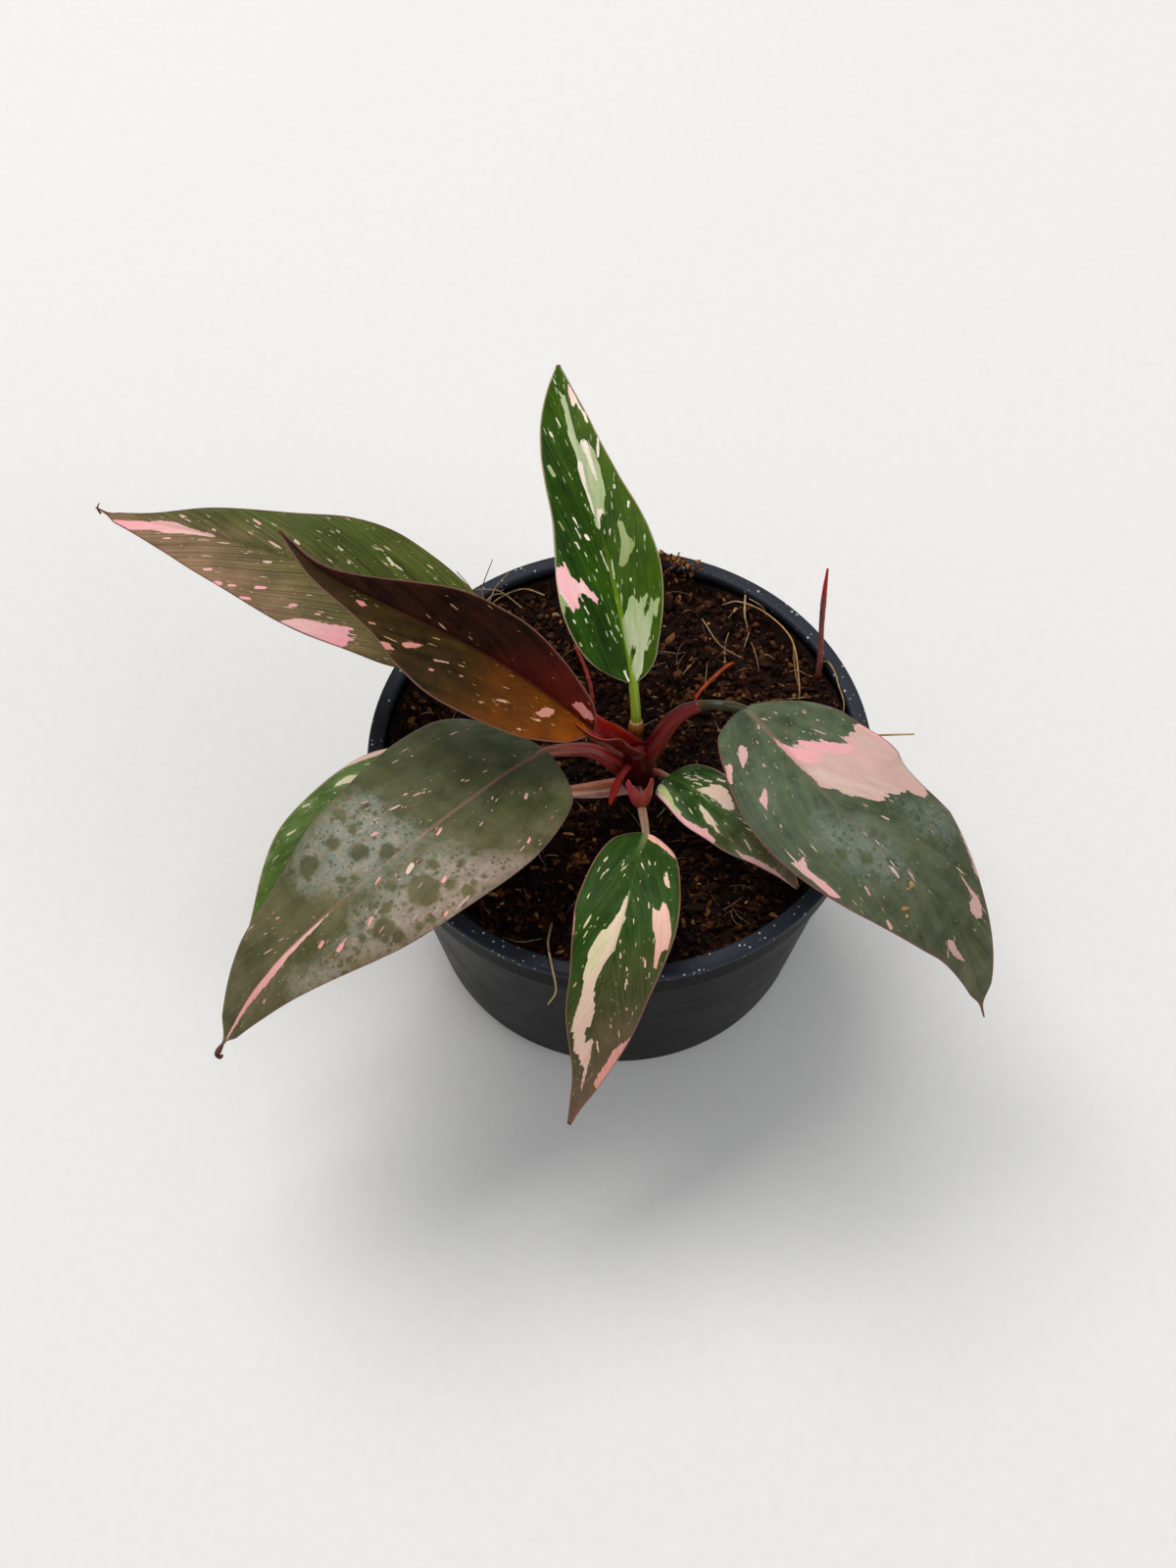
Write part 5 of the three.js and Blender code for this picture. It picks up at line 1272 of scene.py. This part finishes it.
SOIL_RADIUS = 60.7
SOIL_TOP = 71
SOIL_RINGS, SOIL_SPOKES = 92, 224
SOIL_SIDES = [(SOIL_RADIUS, 66.5), (59.4, 63.5), (49.4, 4.5), (48.6, 2.6)]  # radius and height down the wall
BANK_FROM, BANK_HEIGHT = 55.8, 3.6  # the mix is banked up against the wall from this radius on
LOOSE_REACH = 59.5  # the radius that loose things lie within
CRUMBS, CHIPS, LOOSE_FIBRES = 9000, 900, 110
RIM_CLUMP = dict(count=170, at=76, spread=3.2, height=1.9)  # degrees round the rim, and mm
RIM_STRAYS = 150


def soil_height(x, y):
    """The height of the mix: lumps of several sizes, banked up against the wall."""
    lumps = (0.9 * noise.noise((x / 9, y / 9, 3)) + 0.7 * noise.noise((x / 3.4, y / 3.4, 8))
             + 0.35 * noise.noise((x / 1.5, y / 1.5, 2)))
    bank = min(1, max(0, (math.hypot(x, y) - BANK_FROM) / 4.6)) ** 1.5
    return SOIL_TOP - 0.3 + lumps * (1 - 0.4 * bank) + bank * (BANK_HEIGHT + 1.2 * noise.noise((x / 16, y / 16, 5)))


def bark_material(name, *browns):
    """Composted bark and coir: torn plant fibre, matt, each crumb in its own brown, dark where damp."""
    material, add = new_material(name)
    tone = add("Attribute", out="Fac", attribute_name="tone")
    place = add("TexCoord", out="Object")
    grain = add("TexNoise", place, into={"Scale": 900.0, "Detail": 4.0, "Roughness": 0.7})  # 1 mm fibre
    lump = add("TexNoise", place, into={"Scale": 180.0, "Detail": 3.0})
    share = add("Math", add("Math", grain, lump, operation="ADD"), 0.45, tone, operation="MULTIPLY_ADD")
    share = add("MapRange", share, 0.45, 1.45, 0.0, 1.0)
    color = add("ValToRGB", share, stops=list(zip((0, 0.3, 0.55, 0.8, 1), browns)))
    finish_material(add, color, add("MapRange", grain, 0.3, 0.7, 0.72, 0.95), grain, 0.4, Specular_IOR_Level=0.12)
    return material


def lay_soil():
    """The body of the mix: a closed disc that fills the pot, with a lumpy top."""
    turn = np.linspace(0, 2 * np.pi, SOIL_SPOKES, endpoint=False)
    rings = [circle(radius, turn) for radius in SOIL_RADIUS * np.linspace(0, 1, SOIL_RINGS + 1)[1:]]
    for ring in rings:
        ring[:, 2] = [soil_height(x, y) for x, y, _ in ring]
    rings += [circle(radius, turn, height) for radius, height in SOIL_SIDES]
    points = np.vstack([*rings, [(0, 0, soil_height(0, 0)), (0, 0, SOIL_SIDES[-1][1])]])
    faces = capped_faces(len(rings), SOIL_SPOKES, outward=False)
    bed = piece("potting_mix", points, faces, [BARK], None, dict(tone=np.full(len(points), 0.06)))
    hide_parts("soil")


def crumb_shapes(count, corners, seed):
    """Angular crumb shapes about a unit across: hulls round scattered corners."""
    draw = random.Random(seed)
    shapes = []
    for _ in range(count):
        mesh = bmesh.new()
        for _ in range(corners):
            spot = Vector((draw.gauss(0, 1), draw.gauss(0, 1), draw.gauss(0, 1))).normalized()
            mesh.verts.new(spot * draw.uniform(0.34, 0.5))
        bmesh.ops.convex_hull(mesh, input=mesh.verts)
        bmesh.ops.delete(mesh, geom=[v for v in mesh.verts if not v.link_faces], context="VERTS")
        mesh.verts.index_update()
        shapes.append((np.array([v.co[:] for v in mesh.verts]), [[v.index for v in f.verts] for f in mesh.faces]))
        mesh.free()
    return shapes


def scatter(name, spots, shapes, draw, flatness, node):
    """One piece of many crumbs, dressing a node; each spot is (x, y, z, size, tone)."""
    points, faces, tones = [], [], []
    total = 0
    for x, y, z, size, tone in spots:
        shape, sides = shapes[draw.randrange(len(shapes))]
        axis = Vector((draw.gauss(0, 1), draw.gauss(0, 1), draw.gauss(0, 1))).normalized()
        turn = np.array(Matrix.Rotation(draw.uniform(0, math.tau), 3, axis))
        stretch = np.array((draw.uniform(0.9, 1.7), draw.uniform(0.55, 1.0), draw.uniform(*flatness))) * size
        points.append((shape * stretch) @ turn.T + (x, y, z))
        faces += [[k + total for k in side] for side in sides]
        tones.append(np.full(len(shape), tone))
        total += len(shape)
    heap = piece(name, np.vstack(points), faces, [BARK], None, dict(tone=np.concatenate(tones)), smooth=False)
    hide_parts(node)


def on_soil(draw, reach=LOOSE_REACH):
    """A random place on the mix."""
    radius, turn = reach * math.sqrt(draw.random()), draw.uniform(0, math.tau)
    return radius * math.cos(turn), radius * math.sin(turn)


def crumb_tone(draw):
    """Mostly dark, some reddish brown, few light tan."""
    return min(0.98, max(0.0, draw.gauss(0.25, 0.19) + (draw.random() < 0.08) * draw.uniform(0.25, 0.55)))


def lay_crumbs():
    """Loose crumbs and chips on the mix, and those on the pot's rim, most of them in a clump at the back."""
    draw = random.Random(11)
    small, large = crumb_shapes(14, 9, 5), crumb_shapes(12, 14, 6)
    fine = []
    for _ in range(CRUMBS):
        x, y = on_soil(draw)
        size = 0.7 + 2.3 * draw.random() ** 1.8
        lift = draw.random() ** 1.5 * 1.5
        fine.append((x, y, soil_height(x, y) + size * 0.1 + lift, size, crumb_tone(draw)))
    scatter("crumbs_of_bark", fine, small, draw, (0.35, 0.9), "soil")
    chips = []
    for _ in range(CHIPS):
        x, y = on_soil(draw, LOOSE_REACH - 1)
        size = draw.uniform(1.8, 4.2)
        chips.append((x, y, soil_height(x, y) + 0.9 + size * draw.uniform(-0.1, 0.2), size, crumb_tone(draw)))
    scatter("chips_of_bark", chips, large, draw, (0.25, 0.6), "soil")
    rim = []
    for _ in range(RIM_CLUMP["count"]):
        turn = math.radians(draw.gauss(RIM_CLUMP["at"], RIM_CLUMP["spread"]))
        radius = draw.gauss(RIM_INSIDE + 0.5, 1.4)
        size = draw.uniform(0.6, 2.2)
        heaped = max(0, 1 - abs(math.degrees(turn) - RIM_CLUMP["at"]) / 7)
        height = RIM_TOP + 0.2 + RIM_CLUMP["height"] * heaped * draw.random()
        if radius < RIM_INSIDE:  # it lies on the mix, against the wall
            height = draw.uniform(SOIL_TOP + 1, RIM_TOP)
        radius = min(radius, RIM_OUTSIDE - 0.8)
        rim.append((radius * math.cos(turn), radius * math.sin(turn), height, size, draw.uniform(0.3, 0.85)))
    for _ in range(RIM_STRAYS):
        turn = draw.uniform(0, math.tau)
        radius = draw.uniform(RIM_INSIDE + 0.2, RIM_OUTSIDE - 0.6)
        size = draw.uniform(0.25, 0.8)
        height = RIM_TOP + size * 0.2
        rim.append((radius * math.cos(turn), radius * math.sin(turn), height, size, draw.uniform(0.2, 0.9)))
    scatter("crumbs_on_rim", rim, small, draw, (0.4, 0.8), "soil")


# Crumbs that lie on the right leaf: (x, y, size, tone).
SPLASHED = [
    (66.6, -55.2, 1.7, 0.98), (65.9, -56.2, 1.3, 0.9), (65, -60.6, 2, 0.9), (65.4, -62, 1.4, 0.95),
    (65.2, -64, 0.9, 0.95), (64.4, -68.5, 1.7, 0.98), (65.1, -69.2, 1.1, 0.9), (62.6, -55.2, 0.9, 0.98),
    (67.6, -57.4, 0.8, 0.7),
]


def drop_crumbs(leaf):
    """Lays those crumbs on a leaf, and a swarm of finer ones near them."""
    draw = random.Random(31)
    swarm = [(draw.gauss(72, 3), draw.gauss(-40, 3), draw.uniform(0.3, 0.6), draw.uniform(0.3, 1)) for _ in range(22)]
    spots = []
    for x, y, size, tone in SPLASHED + swarm:
        hit, at, _, _ = leaf.ray_cast(Vector((x, y, 200)) * MM, Vector((0, 0, -1)))
        if hit:
            spots.append((at.x / MM, at.y / MM, at.z / MM + size * 0.15, size, tone))
    scatter("crumbs_on_leaf", spots, crumb_shapes(8, 12, 9), draw, (0.5, 0.9), "leaf_right")


# Fibres with a place of their own, each a run and a girth: over the rim at the left back, and a
# bundle at the right.
FIBRES = [
    ([(-36, 44, 73), (-38.5, 48.5, 77), (-40, 51, 79.5), (-43.5, 54.4, 82)], 0.22),
    ([(-34, 45, 73), (-36, 48, 77), (-36.5, 49.8, 81), (-33.5, 52.5, 90)], 0.18),
    ([(-37, 43, 73), (-35, 47, 77), (-33, 51, 79.5), (-29.5, 54, 82)], 0.18),
    ([(-39, 42, 73), (-36, 46.5, 77.5), (-34, 48.5, 79), (-31, 50, 78)], 0.2),
    ([(-26, 49, 72.5), (-30, 50.5, 76), (-33, 50.5, 78.8), (-38.5, 49.5, 80.5)], 0.2),
    ([(-20, 53, 73), (-26, 54, 74.5), (-33, 50, 75), (-38, 45, 73)], 0.24),
    ([(34.1, 50.6, 76.5), (33.9, 48.2, 76), (33.8, 44.6, 75), (34.6, 42.1, 73)], 0.3),
    ([(34.8, 39.6, 74.5), (33.8, 36.8, 74.2), (33.1, 34.7, 73)], 0.14),
    ([(35.4, 37.5, 73), (36.3, 32.6, 74.2), (37.1, 28.4, 73)], 0.11),
    ([(22.4, 45.2, 73), (24, 40.3, 75), (26.2, 36.1, 75), (29.1, 34, 74), (32.5, 32.6, 73)], 0.19),
    ([(29.5, 45.3, 73), (30.8, 46.4, 74.5), (33.1, 47.8, 75)], 0.12),
    ([(35, 48.9, 77), (37.2, 47.4, 77), (38.8, 46.1, 76.5), (39.6, 44.6, 74)], 0.15),
    ([(46.5, 37, 74), (46.4, 31.2, 74.4), (46.7, 25.6, 74.2), (47.5, 22.8, 73)], 0.13),
    ([(45.1, 28, 73), (47.1, 27.7, 74.3), (49.7, 27, 73)], 0.1),
    ([(53, 28.6, 77), (54.9, 26.9, 79), (56.4, 23.5, 79), (57.2, 19.4, 78.9), (58.3, 14.8, 78), (58, 12.1, 75.5)],
     0.22),
    ([(-29.3, -50.7, 73), (-25.1, -53.3, 75.4), (-19.6, -51.7, 74)], 0.16),
]


def lay_fibres():
    """Coir and dead root fibres: thin tan threads that lie in curves on the mix."""
    draw = random.Random(23)
    points, faces, place = [], [], []
    total = 0

    def thread(path, girth, rings):
        nonlocal total
        spots, sides, way, turn = tube(path, girth, sides=6, rings=rings)
        points.append(spots)
        faces.extend([[k + total for k in side] for side in sides])
        place.append(np.column_stack([way, turn, np.full(len(way), draw.uniform(0, 50))]))
        total += len(spots)

    for _ in range(LOOSE_FIBRES):
        x, y = on_soil(draw, LOOSE_REACH - 3.5)
        heading, length = draw.uniform(0, math.tau), draw.uniform(3, 12)
        bend, lift = draw.uniform(-1.4, 1.4), draw.uniform(0.2, 1.1)
        path, steps = [], 5
        for i in range(steps + 1):
            share = i / steps
            turn = heading + bend * share
            x, y = x + length / steps * math.cos(turn), y + length / steps * math.sin(turn)
            away = math.hypot(x, y)
            if away > LOOSE_REACH:
                x, y = x * LOOSE_REACH / away, y * LOOSE_REACH / away
            path.append((x, y, soil_height(x, y) + 1.1 + lift * math.sin(math.pi * share)))
        girth = 0.05 + 0.1 * draw.random() ** 2
        thread(path, [girth, girth, girth * 0.6], 16)
    for path, girth in FIBRES:
        thread(path, [girth, girth, girth * 0.6], 26)
    heap = piece("root_fibres", np.vstack(points), faces, [root_skin("fibre_skin", "#ccac7e", "#7c5836")], None,
                 dict(place=np.vstack(place)))
    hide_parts("soil")


# ---------------------------------------------------------------- the whole thing

camera()
light_studio()
lay_floor()
mould_pot()
BARK = bark_material("composted_bark", "#100604", "#2d160c", "#563018", "#8c5a30", "#bc9058")
lay_soil()
lay_crumbs()
lay_fibres()
grow_stem()
grow_cup_scale()
grow_spike_scale()
grow_roots()
for seed, node in enumerate(LEAVES):
    grown = grow_leaf(node, seed + 1.0)
drop_crumbs(grown)  # the last one grown is leaf_right
